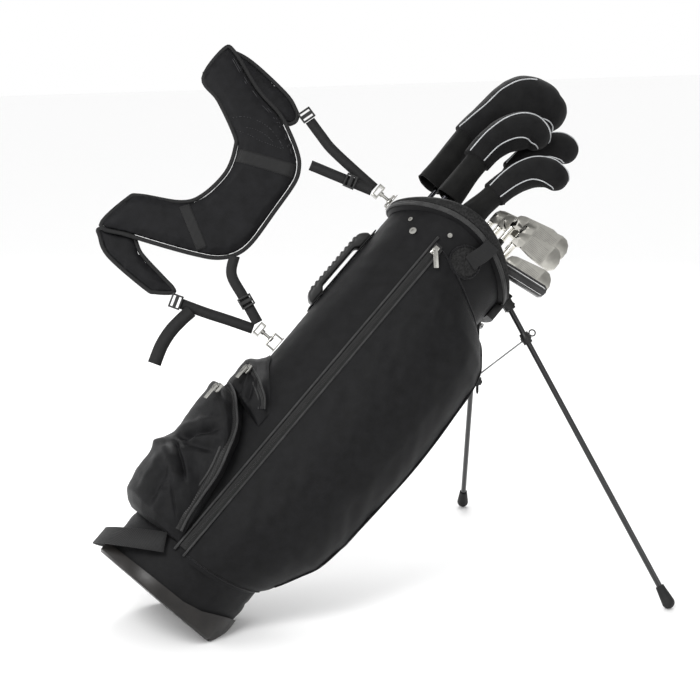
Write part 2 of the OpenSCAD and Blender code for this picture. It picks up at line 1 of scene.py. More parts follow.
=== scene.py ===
"""Golf club set in a stand bag: the looks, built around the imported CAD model.

Soft goods are laid out in the bag's own frame, in millimetres: z runs up the bag, x from the
lift handle towards the stand's side, y away from the camera. BAG turns that into the row frame.
"""

import json
import math

import bmesh
import bpy
from mathutils import Matrix, Vector, noise
from mathutils.bvhtree import BVHTree


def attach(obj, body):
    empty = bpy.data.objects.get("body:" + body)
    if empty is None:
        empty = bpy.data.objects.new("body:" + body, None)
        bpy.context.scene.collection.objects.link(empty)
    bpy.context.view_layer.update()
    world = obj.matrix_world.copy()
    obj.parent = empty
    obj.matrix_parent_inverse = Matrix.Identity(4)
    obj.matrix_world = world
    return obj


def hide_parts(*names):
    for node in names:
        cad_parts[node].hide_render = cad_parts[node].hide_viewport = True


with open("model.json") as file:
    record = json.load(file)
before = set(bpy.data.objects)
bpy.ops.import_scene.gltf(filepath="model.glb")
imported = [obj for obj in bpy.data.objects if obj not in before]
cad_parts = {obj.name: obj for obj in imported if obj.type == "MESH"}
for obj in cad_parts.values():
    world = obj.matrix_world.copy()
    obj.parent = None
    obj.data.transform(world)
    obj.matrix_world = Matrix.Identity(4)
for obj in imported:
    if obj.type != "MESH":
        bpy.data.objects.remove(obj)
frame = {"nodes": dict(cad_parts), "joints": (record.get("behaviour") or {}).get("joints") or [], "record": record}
nodes = frame["nodes"]
joints = {j["name"]: j for j in frame["joints"]}
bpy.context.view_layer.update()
scene = bpy.context.scene

# ---------- the bag's frame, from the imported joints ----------

MM = 0.001
SEAM_TURN = math.radians(30)
TOE_HINGE = Vector((72, 0, 4))
axis = Vector(joints["driver_slide"]["axis"])
lean = math.atan2(axis.x, axis.z)
stand_turn = Matrix.Rotation(lean, 3, "Y")
foot = Vector(joints["toe_flex"]["pos_m"]) - stand_turn @ TOE_HINGE * MM
STAND = Matrix.Translation(foot) @ stand_turn.to_4x4() @ Matrix.Scale(MM, 4)
BAG = STAND @ Matrix.Rotation(-SEAM_TURN, 4, "Z")
BAG_INV = BAG.inverted()

# Radii and heights of the tube and its collar, in mm.
TUBE_R = 131.0
LINING_R = 127.6
COLLAR_R = 144.0
COLLAR_SEAM_R = 143.0
COLLAR_LOW = 832.0
COLLAR_RISE = 21.0
SADDLE_LOW_R = 288.0
SADDLE_TOP_R = 210.0
GRIP_TOP = 328.0
FLOOR_CLEAR = 0.003  # in metres
BRACKET_TURN = 30.0  # in degrees, as every angle given to polar

# ---------- camera ----------

CAM_TARGET = Vector((0.316, 0.0, 0.474))
CAM_PLACE = Vector((-1.164, -2.763, 1.140))
cam_data = bpy.data.cameras.new("camera")
cam_data.lens = 88.3
cam_data.sensor_width = 36
cam = bpy.data.objects.new("camera", cam_data)
cam.location = CAM_PLACE
cam.rotation_euler = (CAM_TARGET - CAM_PLACE).to_track_quat("-Z", "Y").to_euler()
scene.collection.objects.link(cam)
scene.camera = cam


# ---------- small helpers ----------


def lerp(a, b, t):
    return a + (b - a) * t


def clamp(t):
    return max(0.0, min(1.0, t))


def curve_value(points, x):
    """Value at x of the straight runs through (x, value) points in rising x."""
    if x <= points[0][0]:
        return points[0][1]
    for (x0, v0), (x1, v1) in zip(points, points[1:]):
        if x <= x1:
            return lerp(v0, v1, (x - x0) / (x1 - x0))
    return points[-1][1]


def catmull_rom(a, b, c, d, t):
    """Value between b and c on the smooth curve through all four."""
    square, cube = 2 * a - 5 * b + 4 * c - d, 3 * b - a - 3 * c + d
    return 0.5 * (2 * b + (c - a) * t + square * t * t + cube * t * t * t)


def smooth_path(points, steps=8, closed=False):
    """Smooth curve through the points."""
    pts = [Vector(p) for p in points]
    n = len(pts)
    out = []
    for i in range(n if closed else n - 1):
        near = [pts[(i + k) % n] if closed else pts[min(max(i + k, 0), n - 1)] for k in (-1, 0, 1, 2)]
        out += [catmull_rom(*near, s / steps) for s in range(steps)]
    return out if closed else out + [pts[-1]]


def polar(radius, angle, z):
    """Point of the bag frame from its angle in degrees: -90 faces the camera, 180 the handle."""
    a = math.radians(angle)
    return Vector((radius * math.cos(a), radius * math.sin(a), z))


def bell(distance, width):
    """Rounded bump of height 1 at no distance."""
    return math.exp(-((distance / width) ** 2))


def wave(x, y, z, size):
    """Slow unseeded noise, about -1 to 1."""
    return noise.noise(Vector((x, y, z)) / size)


def piece(name, verts, faces, material, body, replaces=(), slot=None, smooth=True, place=BAG):
    """Makes an object that rides on a body, from vertices in millimetres of the frame place."""
    mesh = bpy.data.meshes.new(name)
    mesh.from_pydata([tuple(place @ Vector(v)) for v in verts], [], faces)
    mesh.update()
    bm = bmesh.new()
    bm.from_mesh(mesh)
    bmesh.ops.remove_doubles(bm, verts=bm.verts, dist=1e-5)
    bmesh.ops.recalc_face_normals(bm, faces=bm.faces)
    bm.to_mesh(mesh)
    bm.free()
    if smooth:
        shade_smooth(mesh)
    obj = bpy.data.objects.new(name, mesh)
    scene.collection.objects.link(obj)
    mesh.materials.append(material)
    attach(obj, body)
    if replaces:
        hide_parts(*replaces)
    return obj


def ring_faces(rows, sides, closed=False):
    """Quads between rings of vertices; closed joins the last ring to the first."""
    faces = []
    for j in range(rows if closed else rows - 1):
        this, following = j * sides, (j + 1) % rows * sides
        for k in range(sides):
            after = (k + 1) % sides
            faces.append((this + k, this + after, following + after, following + k))
    return faces


def grid(f, nu, nv, wrap=False):
    """Vertices and faces of f(u, v) for u, v from 0 to 1; wrap closes it round u."""
    if wrap:
        return [f(i / nu, j / nv) for j in range(nv + 1) for i in range(nu)], ring_faces(nv + 1, nu)
    cols = nu + 1
    corners = [j * cols + i for j in range(nv) for i in range(nu)]
    verts = [f(i / nu, j / nv) for j in range(nv + 1) for i in range(cols)]
    return verts, [(a, a + 1, a + 1 + cols, a + cols) for a in corners]


def join(parts):
    """One vertex and face list from several."""
    verts, faces = [], []
    for v, f in parts:
        faces += [tuple(i + len(verts) for i in face) for face in f]
        verts += list(v)
    return verts, faces


def direction(path, i):
    """Unit direction of an open path at its i-th point."""
    return (path[min(i + 1, len(path) - 1)] - path[max(i - 1, 0)]).normalized()


def across(d, hint):
    """Unit vector square to d and as near to hint as it can be."""
    return (hint - hint.dot(d) * d).normalized()


def circle(count):
    """Angles of count points spread round a circle."""
    return [2 * math.pi * k / count for k in range(count)]


def sweep(path, section, closed=False, up=None):
    """Section points (side, normal) carried along a path; up gives the normal's direction."""
    n = len(path)
    frames, last = [], None
    for i in range(n):
        if closed:
            d = (path[(i + 1) % n] - path[i - 1]).normalized()
        else:
            d = direction(path, i)
        hint = up(path[i]) if up else last
        if hint is None:
            hint = Vector((0, 0, 1)) if abs(d.z) < 0.9 else Vector((1, 0, 0))
        last = across(d, hint)
        frames.append((d.cross(last), last))
    m = len(section)
    verts = [path[i] + side * s + normal * h for i, (side, normal) in enumerate(frames) for s, h in section]
    faces = ring_faces(n, m, closed)
    if not closed:
        faces += [tuple(range(m)), tuple(range((n - 1) * m, n * m))]
    return verts, faces


def round_section(r, sides=10):
    return [(r * math.cos(a), r * math.sin(a)) for a in circle(sides)]


def webbing_section(w, t):
    """Flat webbing with soft, slightly thicker edges."""
    return [(-w / 2, 0), (-w / 2 + 0.8, -t / 2), (0, -t * 0.42), (w / 2 - 0.8, -t / 2), (w / 2, 0),
            (w / 2 - 0.8, t / 2), (0, t * 0.42), (-w / 2 + 0.8, t / 2)]


def cord_line(name, points, r, material, steps=6, slot="polyester"):
    """A sewn piping along a smooth path on the bag."""
    piece(name, *sweep(smooth_path(points, steps), round_section(r)), material, "bag", slot=slot)


def outward(p):
    """Direction away from the bag's axis."""
    return Vector((p.x, p.y, 0)).normalized()


def facing(_):
    """Direction towards the camera's side."""
    return Vector((0, -1, 0))


# ---------- materials ----------


class Nodes:
    """A material's node tree with short ways to add and wire nodes."""

    def __init__(self, name):
        self.material = bpy.data.materials.new(name)
        self.material.use_nodes = True
        self.tree = self.material.node_tree
        self.shader = self.tree.nodes["Principled BSDF"]

    def add(self, kind, values=None, **settings):
        node = self.tree.nodes.new("ShaderNode" + kind)
        for key, value in settings.items():
            setattr(node, key, value)
        for key, value in (values or {}).items():
            node.inputs[key].default_value = value
        return node

    def wire(self, source, target):
        self.tree.links.new(source, target)

    def place(self):
        """Coordinates in millimetres, turned to lie along the bag."""
        at = self.add("TexCoord").outputs["Object"]
        turns = (("Mapping", {"Scale": (1000, 1000, 1000)}, {}),
                 ("VectorRotate", {"Angle": -lean}, {"rotation_type": "Y_AXIS"}),
                 ("VectorRotate", {"Angle": SEAM_TURN}, {"rotation_type": "Z_AXIS"}))
        for kind, values, settings in turns:
            node = self.add(kind, values, **settings)
            self.wire(at, node.inputs["Vector"])
            at = node.outputs["Vector"]
        return at

    def wave(self, vector, size, way, distortion, detail=1.0):
        """Bands of sine waves, size mm apart."""
        node = self.add("TexWave", {"Scale": 0.314 / size, "Distortion": distortion, "Detail": detail},
                        wave_type="BANDS", bands_direction=way, wave_profile="SIN")
        self.wire(vector, node.inputs["Vector"])
        return node.outputs["Fac"]

    def noise(self, vector, size, detail=3, roughness=0.55):
        node = self.add("TexNoise", {"Scale": 1 / size, "Detail": detail, "Roughness": roughness})
        self.wire(vector, node.inputs["Vector"])
        return node.outputs["Fac"]

    def ramp(self, value, low, high, at=(0.3, 0.7)):
        node = self.add("ValToRGB")
        for stop, place, colour in zip(node.color_ramp.elements, at, (low, high)):
            stop.position = place
            stop.color = (*colour, 1)
        self.wire(value, node.inputs["Fac"])
        return node.outputs["Color"]

    def span(self, value, low, high):
        node = self.add("MapRange", {"To Min": low, "To Max": high})
        self.wire(value, node.inputs["Value"])
        return node.outputs["Result"]

    def math(self, operation, a, b):
        node = self.add("Math", operation=operation)
        for socket, value in zip(node.inputs, (a, b)):
            if isinstance(value, (int, float)):
                socket.default_value = value
            else:
                self.wire(value, socket)
        return node.outputs["Value"]

    def bump(self, height, strength, distance):
        node = self.add("Bump", {"Strength": strength, "Distance": distance})
        self.wire(height, node.inputs["Height"])
        return node.outputs["Normal"]

    def finish(self, colour, rough, normal, **fixed):
        """Wires the three maps and sets the other sockets, named in lower case."""
        for socket, value in (("Base Color", colour), ("Roughness", rough), ("Normal", normal)):
            self.wire(value, self.shader.inputs[socket])
        for key, value in fixed.items():
            self.shader.inputs[key.replace("_", " ").title().replace("Ior", "IOR")].default_value = value
        return self.material


def fabric(name, dark, light, yarn=1.1, rough=(0.4, 0.58), bump=0.35, sheen=0.015):
    """Plain weave: two crossing sets of yarns, with slubs and slow changes of tone."""
    n = Nodes(name)
    at = n.place()
    weave = n.math("MAXIMUM", *(n.wave(at, yarn, way, 0.35) for way in "XZ"))
    tone = n.noise(at, 18.0, 4)
    fine = n.noise(at, 2.2, 2)
    mixed = n.math("ADD", n.math("MULTIPLY", tone, 0.7), n.math("MULTIPLY", fine, 0.3))
    surface = n.math("ADD", n.math("MULTIPLY", weave, 0.75), n.math("MULTIPLY", fine, 0.4))
    return n.finish(n.ramp(mixed, dark, light), n.span(tone, *rough), n.bump(surface, bump, 0.0006),
                    sheen_weight=sheen, sheen_roughness=0.4, specular_ior_level=0.11)


def knit(name, dark, light):
    """Stretch knit: fine ribs along the bag with loops across them."""
    n = Nodes(name)
    at = n.place()
    height = n.math("ADD", n.wave(at, 2.4, "X", 0.6), n.math("MULTIPLY", n.wave(at, 1.6, "Z", 1.0), 0.4))
    tone = n.noise(at, 26, 3)
    return n.finish(n.ramp(tone, dark, light), n.span(tone, 0.72, 0.88), n.bump(height, 0.4, 0.0007),
                    sheen_weight=0.03, sheen_roughness=0.5, specular_ior_level=0.12)


def mesh_foam(name, dark, light):
    """Spacer mesh: small round cells."""
    n = Nodes(name)
    at = n.place()
    cells = n.add("TexVoronoi", {"Scale": 1 / 3.2}, feature="F1")
    n.wire(at, cells.inputs["Vector"])
    tone = n.noise(at, 20, 3)
    away = cells.outputs["Distance"]
    return n.finish(n.ramp(away, dark, light, (0.2, 0.8)), n.span(tone, 0.6, 0.8), n.bump(away, 0.6, 0.0012),
                    sheen_weight=0.02, specular_ior_level=0.15)


def webbing(name, dark, light):
    """Tight woven tape: a fine herringbone of yarns."""
    n = Nodes(name)
    at = n.place()
    twill = n.wave(at, 1.5, "DIAGONAL", 0.8, 1.5)
    rough = n.span(n.noise(at, 9, 3), 0.5, 0.7)
    return n.finish(n.ramp(twill, dark, light), rough, n.bump(twill, 0.5, 0.0008), sheen_weight=0.02,
                    specular_ior_level=0.2)


def plastic(name, dark, light, rough=(0.32, 0.5), grain=1.4, bump=0.12, coat=0.0):
    """Moulded plastic, rubber or paint with a fine grain, in mm."""
    n = Nodes(name)
    at = n.place()
    tone = n.noise(at, 30, 4)
    fine = n.noise(at, grain, 3)
    return n.finish(n.ramp(tone, dark, light), n.span(n.noise(at, 12, 4), *rough),
                    n.bump(fine, bump, 0.0004), coat_weight=coat, coat_roughness=0.15, specular_ior_level=0.3)


def metal(name, dark, light, rough=(0.12, 0.3), brush=None, scratch=0.08):
    """Plated or polished metal with fine scratches; brush stretches them along one way."""
    n = Nodes(name)
    at = n.place()
    tone = n.noise(at, 14, 4)
    if brush:
        stretch = n.add("Mapping", {"Scale": brush})
        n.wire(at, stretch.inputs["Vector"])
        fine = n.noise(stretch.outputs["Vector"], 1.0, 3, 0.7)
    else:
        fine = n.noise(at, 3.0, 5, 0.7)
    return n.finish(n.ramp(tone, dark, light), n.span(fine, *rough), n.bump(fine, scratch, 0.0002),
                    metallic=1.0)


def tones(dark, light):
    """Two neutral tones of grey."""
    return (dark,) * 3, (light,) * 3


MAT = {
    "polyester": fabric("polyester", (0.0035, 0.0035, 0.0038), (0.0085, 0.0085, 0.0092)),
    "pocket": fabric("pocket_polyester", (0.0038, 0.0038, 0.004), (0.009, 0.009, 0.0098)),
    "strap_cloth": fabric("strap_cloth", (0.004, 0.004, 0.0044), (0.0098, 0.0098, 0.011), yarn=1.3),
    "lining": fabric("lining", (0.004, 0.004, 0.0045), (0.010, 0.010, 0.011), sheen=0.05),
    "piping": fabric("black_piping", (0.005, 0.005, 0.0055), (0.012, 0.012, 0.013), yarn=0.8, sheen=0.1),
    "grey_piping": fabric("grey_piping", *tones(0.022, 0.046), yarn=0.8, bump=0.2, rough=(0.35, 0.5),
                          sheen=0.1),
    "silver_piping": fabric("silver_piping", (0.36, 0.37, 0.38), (0.56, 0.57, 0.58), yarn=0.8, bump=0.2,
                            rough=(0.3, 0.45), sheen=0.1),
    "thread": fabric("thread", (0.03, 0.03, 0.032), (0.07, 0.07, 0.073), yarn=0.6, bump=0.1, sheen=0.0),
    "neoprene": knit("cover_smooth", (0.0045, 0.0045, 0.0048), (0.010, 0.010, 0.0103)),
    "sock": knit("cover_sock", (0.0042, 0.0042, 0.0042), (0.0095, 0.0095, 0.0092)),
    "foam": mesh_foam("collar_mesh", *tones(0.004, 0.018)),
    "webbing": webbing("webbing", (0.006, 0.006, 0.006), (0.018, 0.018, 0.0185)),
    "zip": webbing("zip_coil", *tones(0.007, 0.022)),
    "rubber": plastic("boot_rubber", (0.006, 0.0052, 0.0048), (0.013, 0.0112, 0.0102), rough=(0.3, 0.46),
                      grain=0.9),
    "foot_rubber": plastic("foot_rubber", *tones(0.006, 0.014), rough=(0.5, 0.7)),
    "plastic": plastic("black_plastic", *tones(0.007, 0.015)),
    "lacquer": plastic("leg_lacquer", (0.006, 0.006, 0.0065), (0.011, 0.011, 0.012), rough=(0.16, 0.26),
                       coat=0.6),
    "putter": plastic("putter_black", *tones(0.006, 0.012), rough=(0.25, 0.4), coat=0.3),
    "sight": plastic("sight_line", *tones(0.55, 0.7), rough=(0.35, 0.5)),
    "nickel": metal("nickel", (0.25, 0.245, 0.23), (0.42, 0.415, 0.39)),
    "wire": metal("wire", *tones(0.16, 0.3), rough=(0.3, 0.45)),
    "alloy": metal("stay_alloy", *tones(0.5, 0.65), rough=(0.3, 0.5)),
    "iron_satin": metal("iron_satin", (0.38, 0.37, 0.34), (0.48, 0.47, 0.43), rough=(0.3, 0.44),
                        brush=(0.2, 3.0, 3.0), scratch=0.2),
    "iron_polish": metal("iron_polish", (0.56, 0.545, 0.5), (0.7, 0.685, 0.63), rough=(0.06, 0.16),
                         scratch=0.03),
    # The scoring-line metal is darker than the satin face: painted shade standing in for the shadow inside the
    # grooves.
    "groove": metal("painted_groove_shade", (0.26, 0.255, 0.24), (0.34, 0.33, 0.31), rough=(0.4, 0.55)),
}


def club_metal(name, dark, light):
    """Shaft that turns to grip rubber over the grip's length, by its place along the bag."""
    n = Nodes(name)
    at = n.place()
    parts = n.add("SeparateXYZ")
    n.wire(at, parts.inputs["Vector"])
    grip = n.math("LESS_THAN", parts.outputs["Z"], GRIP_TOP - BAG_INV.translation.z)
    tone = n.noise(at, 14, 3)
    colour = n.add("Mix", data_type="RGBA")
    n.wire(grip, colour.inputs["Factor"])
    n.wire(n.ramp(tone, dark, light), colour.inputs[6])
    colour.inputs[7].default_value = (0.012, 0.012, 0.012, 1)
    n.wire(colour.outputs[2], n.shader.inputs["Base Color"])
    n.wire(n.math("SUBTRACT", 1.0, grip), n.shader.inputs["Metallic"])
    n.wire(n.span(grip, 0.1, 0.75), n.shader.inputs["Roughness"])
    fine = n.noise(at, 2.5, 3)
    n.wire(n.bump(n.math("MULTIPLY", fine, grip), 0.5, 0.0006), n.shader.inputs["Normal"])
    return n.material


MAT["club_shaft"] = club_metal("club_shaft", (0.6, 0.6, 0.59), (0.76, 0.76, 0.75))
MAT["graphite"] = club_metal("graphite_shaft", (0.016, 0.016, 0.018), (0.03, 0.03, 0.034))


def dress(node_names, material):
    """Gives carried-over CAD nodes their finish."""
    for name in node_names:
        mesh = nodes[name].data
        mesh.materials.clear()
        mesh.materials.append(material)


dress(["base_boot", "base_toe"], MAT["rubber"])
dress(["near_leg_foot", "far_leg_foot"], MAT["foot_rubber"])
dress(["near_leg_tube", "far_leg_tube"], MAT["lacquer"])
dress(["near_leg_fittings", "far_leg_fittings", "hinge_bracket", "inner_floor", "push_rod", "cord_toggle",
       "harness_buckles", "lift_handle"], MAT["plastic"])
dress(["near_link", "far_link"], MAT["wire"])
dress(["stays"], MAT["alloy"])
dress(["rivets", "main_zip_slider", "main_zip_pull", "pocket_sliders", "ball_zip_pull", "accessory_zip_pull",
       "harness_hooks", "d_rings"], MAT["nickel"])
dress([f"iron_{c}_shaft" for c in "abcdef"] + ["putter_shaft"], MAT["club_shaft"])
dress([f"{club}_club" for club in ("driver", "fairway", "near_hybrid", "far_hybrid")], MAT["graphite"])
dress([f"iron_{c}_head" for c in "abcdef"], MAT["iron_satin"])
dress(["putter_head"], MAT["putter"])
dress(["main_zip_tape"], MAT["zip"])
dress(["top_divider"], MAT["lining"])
dress(["glove_patch", "grab_loop", "harness_straps"], MAT["webbing"])


def shade_smooth(mesh):
    mesh.polygons.foreach_set("use_smooth", [True] * len(mesh.polygons))


def apply_modifiers(obj):
    """Bakes the modifiers into the mesh."""
    deps = bpy.context.evaluated_depsgraph_get()
    made = bpy.data.meshes.new_from_object(obj.evaluated_get(deps))
    made.materials.clear()
    for m in obj.data.materials:
        made.materials.append(m)
    obj.modifiers.clear()
    obj.data = made


def simulate(obj, cap, pressure, voxel, frames, stiff):
    """Swells a closed piece as cloth under light pressure; no point moves further than cap, in mm."""
    remesh = obj.modifiers.new("remesh", "REMESH")
    remesh.mode = "VOXEL"
    remesh.voxel_size = voxel
    remesh.use_smooth_shade = True
    apply_modifiers(obj)
    rest = [v.co.copy() for v in obj.data.vertices]
    cloth = obj.modifiers.new("cloth", "CLOTH").settings
    cloth.quality = 5
    cloth.use_pressure = True
    cloth.uniform_pressure_force = pressure
    cloth.tension_stiffness = stiff
    cloth.compression_stiffness = stiff
    cloth.bending_stiffness = 0.6
    cloth.effector_weights.gravity = 0
    for f in range(1, frames + 1):
        scene.frame_set(f)
    apply_modifiers(obj)
    scene.frame_set(1)
    for v, start in zip(obj.data.vertices, rest):
        move = v.co - start
        if move.length > cap * MM:
            v.co = start + move.normalized() * cap * MM
    shade_smooth(obj.data)


def subdivide(obj):
    obj.modifiers.new("subdivision", "SUBSURF").render_levels = 1


# ---------- umbrella cord: first, because the CAD holds its route ----------

CORD_R = 1.5
CORD_GAP = 2.2
CORD_AT = Vector((143, 0, 806))


def strand(side, drop):
    """Point of the hanging cord, straight down under gravity from its outlet."""
    return STAND @ (CORD_AT + Vector((drop * math.sin(lean), side, -drop * math.cos(lean))))


# Drops below the outlet, then the turn through the toggle as (side, drop), all in mm.
drops = [0, 12, 26, 42, 60, 80, 100, 120, 138]
bend = [(-2, 146), (-1.3, 149.4), (0, 150.6), (1.3, 149.4), (2, 146)]
cord_route = [strand(-CORD_GAP, d) for d in drops] + [strand(s, d) for s, d in bend]
cord_route += [strand(CORD_GAP, d) for d in reversed(drops)]
cord_path = smooth_path(cord_route, 4)
cord_piece = piece("umbrella_cord_braid", *sweep([p / MM for p in cord_path], round_section(CORD_R, 12)),
                   MAT["webbing"], "bag", replaces=["umbrella_cord"], slot="webbing", place=Matrix.Scale(MM, 4))


# ---------- tube and collar ----------


def saddle(radius, low, angle, at_radius):
    """Height of a saddle edge: a cylinder lying along the handle-to-leg line."""
    y = at_radius * math.sin(math.radians(angle))
    return low + radius - math.sqrt(radius * radius - y * y)


def edge_height(angle):
    """Top edge of the tube."""
    return saddle(SADDLE_LOW_R, COLLAR_LOW, angle, TUBE_R)


def seam_height(angle):
    """Lower edge of the collar."""
    return saddle(SADDLE_LOW_R, COLLAR_LOW, angle, COLLAR_SEAM_R)


def boot_height(angle):
    """Top edge of the rubber boot."""
    x = 134 * math.cos(math.radians(angle))
    return curve_value([(-134, 19), (40, 23), (75, 31), (100, 44), (118, 56), (134, 66)], x)


def floor_edge(angle):
    """Lowest height along the bag that stays FLOOR_CLEAR above the floor at this angle."""
    start = BAG @ polar(TUBE_R, angle, 0)
    climb = BAG @ polar(TUBE_R, angle, 1) - start
    return (FLOOR_CLEAR - start.z) / climb.z


def shell_outer(u, v):
    angle = 360 * u
    low = max(8.0, boot_height(angle) - 8, floor_edge(angle))
    z = lerp(low, edge_height(angle) + 7, v)
    r = TUBE_R - 0.9
    if z > 70:
        p = polar(130, angle, z)
        r += 1.4 * wave(p.x, p.y, z * 0.35, 55) + 0.8 * wave(p.x, p.y, z, 24)
    cuff_seam = curve_value([(0, 97), (43, 90), (90, 80), (130, 95), (180, 100)], (angle - 220) % 180)
    r -= 1.6 * bell(z - cuff_seam, 3.0)
    r += 1.2 * bell(z - cuff_seam + 14, 9.0)
    return polar(r, angle, z)


def shell_inner(u, v):
    angle = -360 * u
    return polar(LINING_R, angle, lerp(62, edge_height(angle) + 2, v))


piece("shell_fabric", *grid(shell_outer, 180, 170, True), MAT["polyester"], "bag", replaces=["bag_shell"],
      slot="polyester")
piece("shell_lining", *grid(shell_inner, 120, 12, True), MAT["lining"], "bag", slot="polyester")


def in_bracket(angle):
    """How far the angle lies inside the recess for the hinge bracket, 0 to 1."""
    off = abs((angle - BRACKET_TURN + 180) % 360 - 180)
    return clamp((35.5 - off) / 2.5)


def rim_section(u, v):
    """Padded rim: v runs up the outside, over the top and down the inside."""
    angle = 360 * u
    top = saddle(SADDLE_TOP_R, COLLAR_LOW + COLLAR_RISE, angle, 135)
    low = seam_height(angle) + 9.5
    out = lerp(COLLAR_R, 137.3, in_bracket(angle) * (v < 0.42))
    profile = [(out - 3.5, low), (out - 0.8, low + 2.5), (out, lerp(low, top, 0.45)), (out - 1.2, top - 5),
               (out - 5.5, top - 0.8), (134.5, top + 0.4), (129, top - 1.2), (126.6, top - 6), (126.2, top - 18),
               (126.6, low - 8)]
    k = v * (len(profile) - 1)
    i = min(int(k), len(profile) - 2)
    r, z = (lerp(a, b, k - i) for a, b in zip(profile[i], profile[i + 1]))
    pleat = 0.35 * math.sin(math.radians(angle) * 150)
    return polar(r + pleat * (0.4 < v < 0.95), angle, z)


subdivide(piece("collar_rim", *grid(rim_section, 300, 27, True), MAT["foam"], "bag",
                replaces=["collar_ring"], slot="padding"))


def trim_band():
    """Band sewn round the collar's lower edge, left out across the hinge bracket."""
    thick, height = 3.2, 8.6
    path = []
    for i in range(181):
        angle = 64.5 + (360 - 69) * i / 180
        path.append(polar(COLLAR_R - thick / 2 - 0.6, angle, seam_height(angle) + 5.4))
    section = [(s * height / 2, n * thick / 2) for s, n in
               [(-1, -1), (-1, 0.4), (-0.8, 1), (-0.25, 1), (0, 0.45), (0.25, 1), (0.8, 1), (1, 0.4), (1, -1)]]
    piece("collar_piping", *sweep(path, section, up=outward), MAT["grey_piping"], "bag", slot="polyester")


trim_band()


def rim_back(u, v):
    """Cloth under the band, between the shell and the collar's outside."""
    angle = 66 + (360 - 72) * u
    r = lerp(TUBE_R + 0.4, COLLAR_R - 3.2, min(1, v * 2.2))
    return polar(r, angle, seam_height(angle) + lerp(-3.5, 11, v))


piece("collar_band", *grid(rim_back, 180, 6), MAT["polyester"], "bag", slot="polyester")


# ---------- pockets: depth and edges by angle, then the rise over the height ----------

POCKET_BASE = TUBE_R + 0.3

SIDE_DEPTH = [(-94.4, 136.0), (-91, 138.6), (-86.8, 141.5), (-75.2, 155.5), (-62.9, 174), (-49.6, 191.5),
              (-37, 203.5), (-24.6, 211), (-15.6, 214.6), (-10.7, 213.5), (-7.5, 204), (-5.4, 168), (-3.5, 132.2)]
SIDE_TOP = [(-94.4, 811), (-85, 806), (-76.8, 798), (-60, 782), (-47.8, 772), (-20, 757), (-3.5, 750)]
SIDE_LOW = [(-94.4, 80), (-70, 84), (-47.8, 96), (-30, 108), (-17, 118), (-3.5, 126)]
SIDE_RISE = [(0, 0), (0.03, 0.2), (0.09, 0.44), (0.163, 0.74), (0.267, 0.9), (0.487, 0.98), (0.645, 1.0),
             (0.756, 0.955), (0.863, 0.875), (0.913, 0.76), (0.968, 0.42), (0.99, 0.16), (1, 0)]


def side_fold(x, z):
    """Soft folds of the big panel, in mm."""
    value = 3.4 * wave(x, z * 0.4, 3.1, 70) + 2.2 * wave(x * 1.6 + z * 0.5, z, 9.4, 38)
    value += 2.4 * wave(x + z * 0.45, z * 0.22, 17.0, 26)
    value -= 6.0 * bell(x - 42 - (790 - z) * 0.42, 13) * clamp((z - 640) / 60) * clamp((790 - z) / 30)
    value -= 3.5 * bell(z - 118 - 0.34 * (x - 60), 9) * clamp((x - 20) / 60)
    value += 2.5 * bell(z - 138 - 0.30 * (x - 60), 12) * clamp((x - 20) / 60)
    return value


def side_point(angle, t):
    z = lerp(curve_value(SIDE_LOW, angle), curve_value(SIDE_TOP, angle), t)
    rise = curve_value(SIDE_RISE, t)
    r = lerp(POCKET_BASE, curve_value(SIDE_DEPTH, angle), rise)
    weight = clamp((angle + 94) / 14) * clamp((-9 - angle) / 10) * rise
    return polar(r + side_fold(polar(r, angle, z).x, z) * weight, angle, z)


def side_skin(u, v):
    """The panel with its columns closer together near the outer edge."""
    angle = curve_value([(0, -94.4), (0.06, -91), (0.62, -30), (0.8, -15), (0.88, -9), (1, -3.5)], u)
    return side_point(angle, v)


subdivide(piece("side_pocket_panel", *grid(side_skin, 84, 130), MAT["pocket"], "bag",
                replaces=["side_pocket"], slot="polyester"))

edge = [side_point(a, 0.992) + Vector((0, 0, 1)) for a in (-93, -86, -78, -70, -60, -48, -36, -26, -20)]
edge += [side_point(-16, t) for t in (0.985, 0.97, 0.94, 0.9, 0.84, 0.76, 0.66, 0.55, 0.44, 0.33, 0.24, 0.17,
                                      0.12, 0.08, 0.05)]
cord_line("side_pocket_piping", [p + outward(p) * 0.8 for p in edge], 2.0, MAT["piping"])
hem = [side_point(a, 0.012) for a in (-16, -24, -34, -48, -62, -78, -93)]
cord_line("side_pocket_hem", [p + outward(p) * 0.6 for p in hem], 1.5, MAT["piping"])


for side, x, y, top, r in (("left", -30.5, -TUBE_R * 0.985 - 2.6, 822, 2.3),
                           ("right", -10.8, -TUBE_R - 5.2, 806, 2.0)):
    straight = [(x, y, z) for z in (84, lerp(84, top, 0.5), top)]
    cord_line(f"main_zip_piping_{side}", straight, r, MAT["grey_piping"], 10, "zip_tape")


def zip_chain(name, path, up):
    """Coil teeth along a path, as one mesh of short rounded bars."""
    width, pitch, parts = 4.6, 2.6, []
    sides = [(0, 1, 3, 2), (4, 6, 7, 5), (0, 4, 5, 1), (2, 3, 7, 6), (1, 5, 7, 3), (0, 2, 6, 4)]
    for a, b in zip(path, path[1:]):
        d = (b - a).normalized()
        count = max(1, int((b - a).length / pitch))
        for k in range(count):
            c = a.lerp(b, (k + 0.5) / count)
            n = across(d, up(c))
            s = d.cross(n)
            box = [c + s * (i * width / 2) + d * (j * pitch * 0.3) + n * h for i in (-1, 1) for j in (-1, 1)
                   for h in (-0.4, 1.0)]
            parts.append((box, sides))
    piece(name, *join(parts), MAT["plastic"], "bag", smooth=False, slot="zip_tape")


zip_chain("main_zip_teeth", [Vector((-19.5, -TUBE_R - 3.4, z)) for z in (100, 786)], facing)

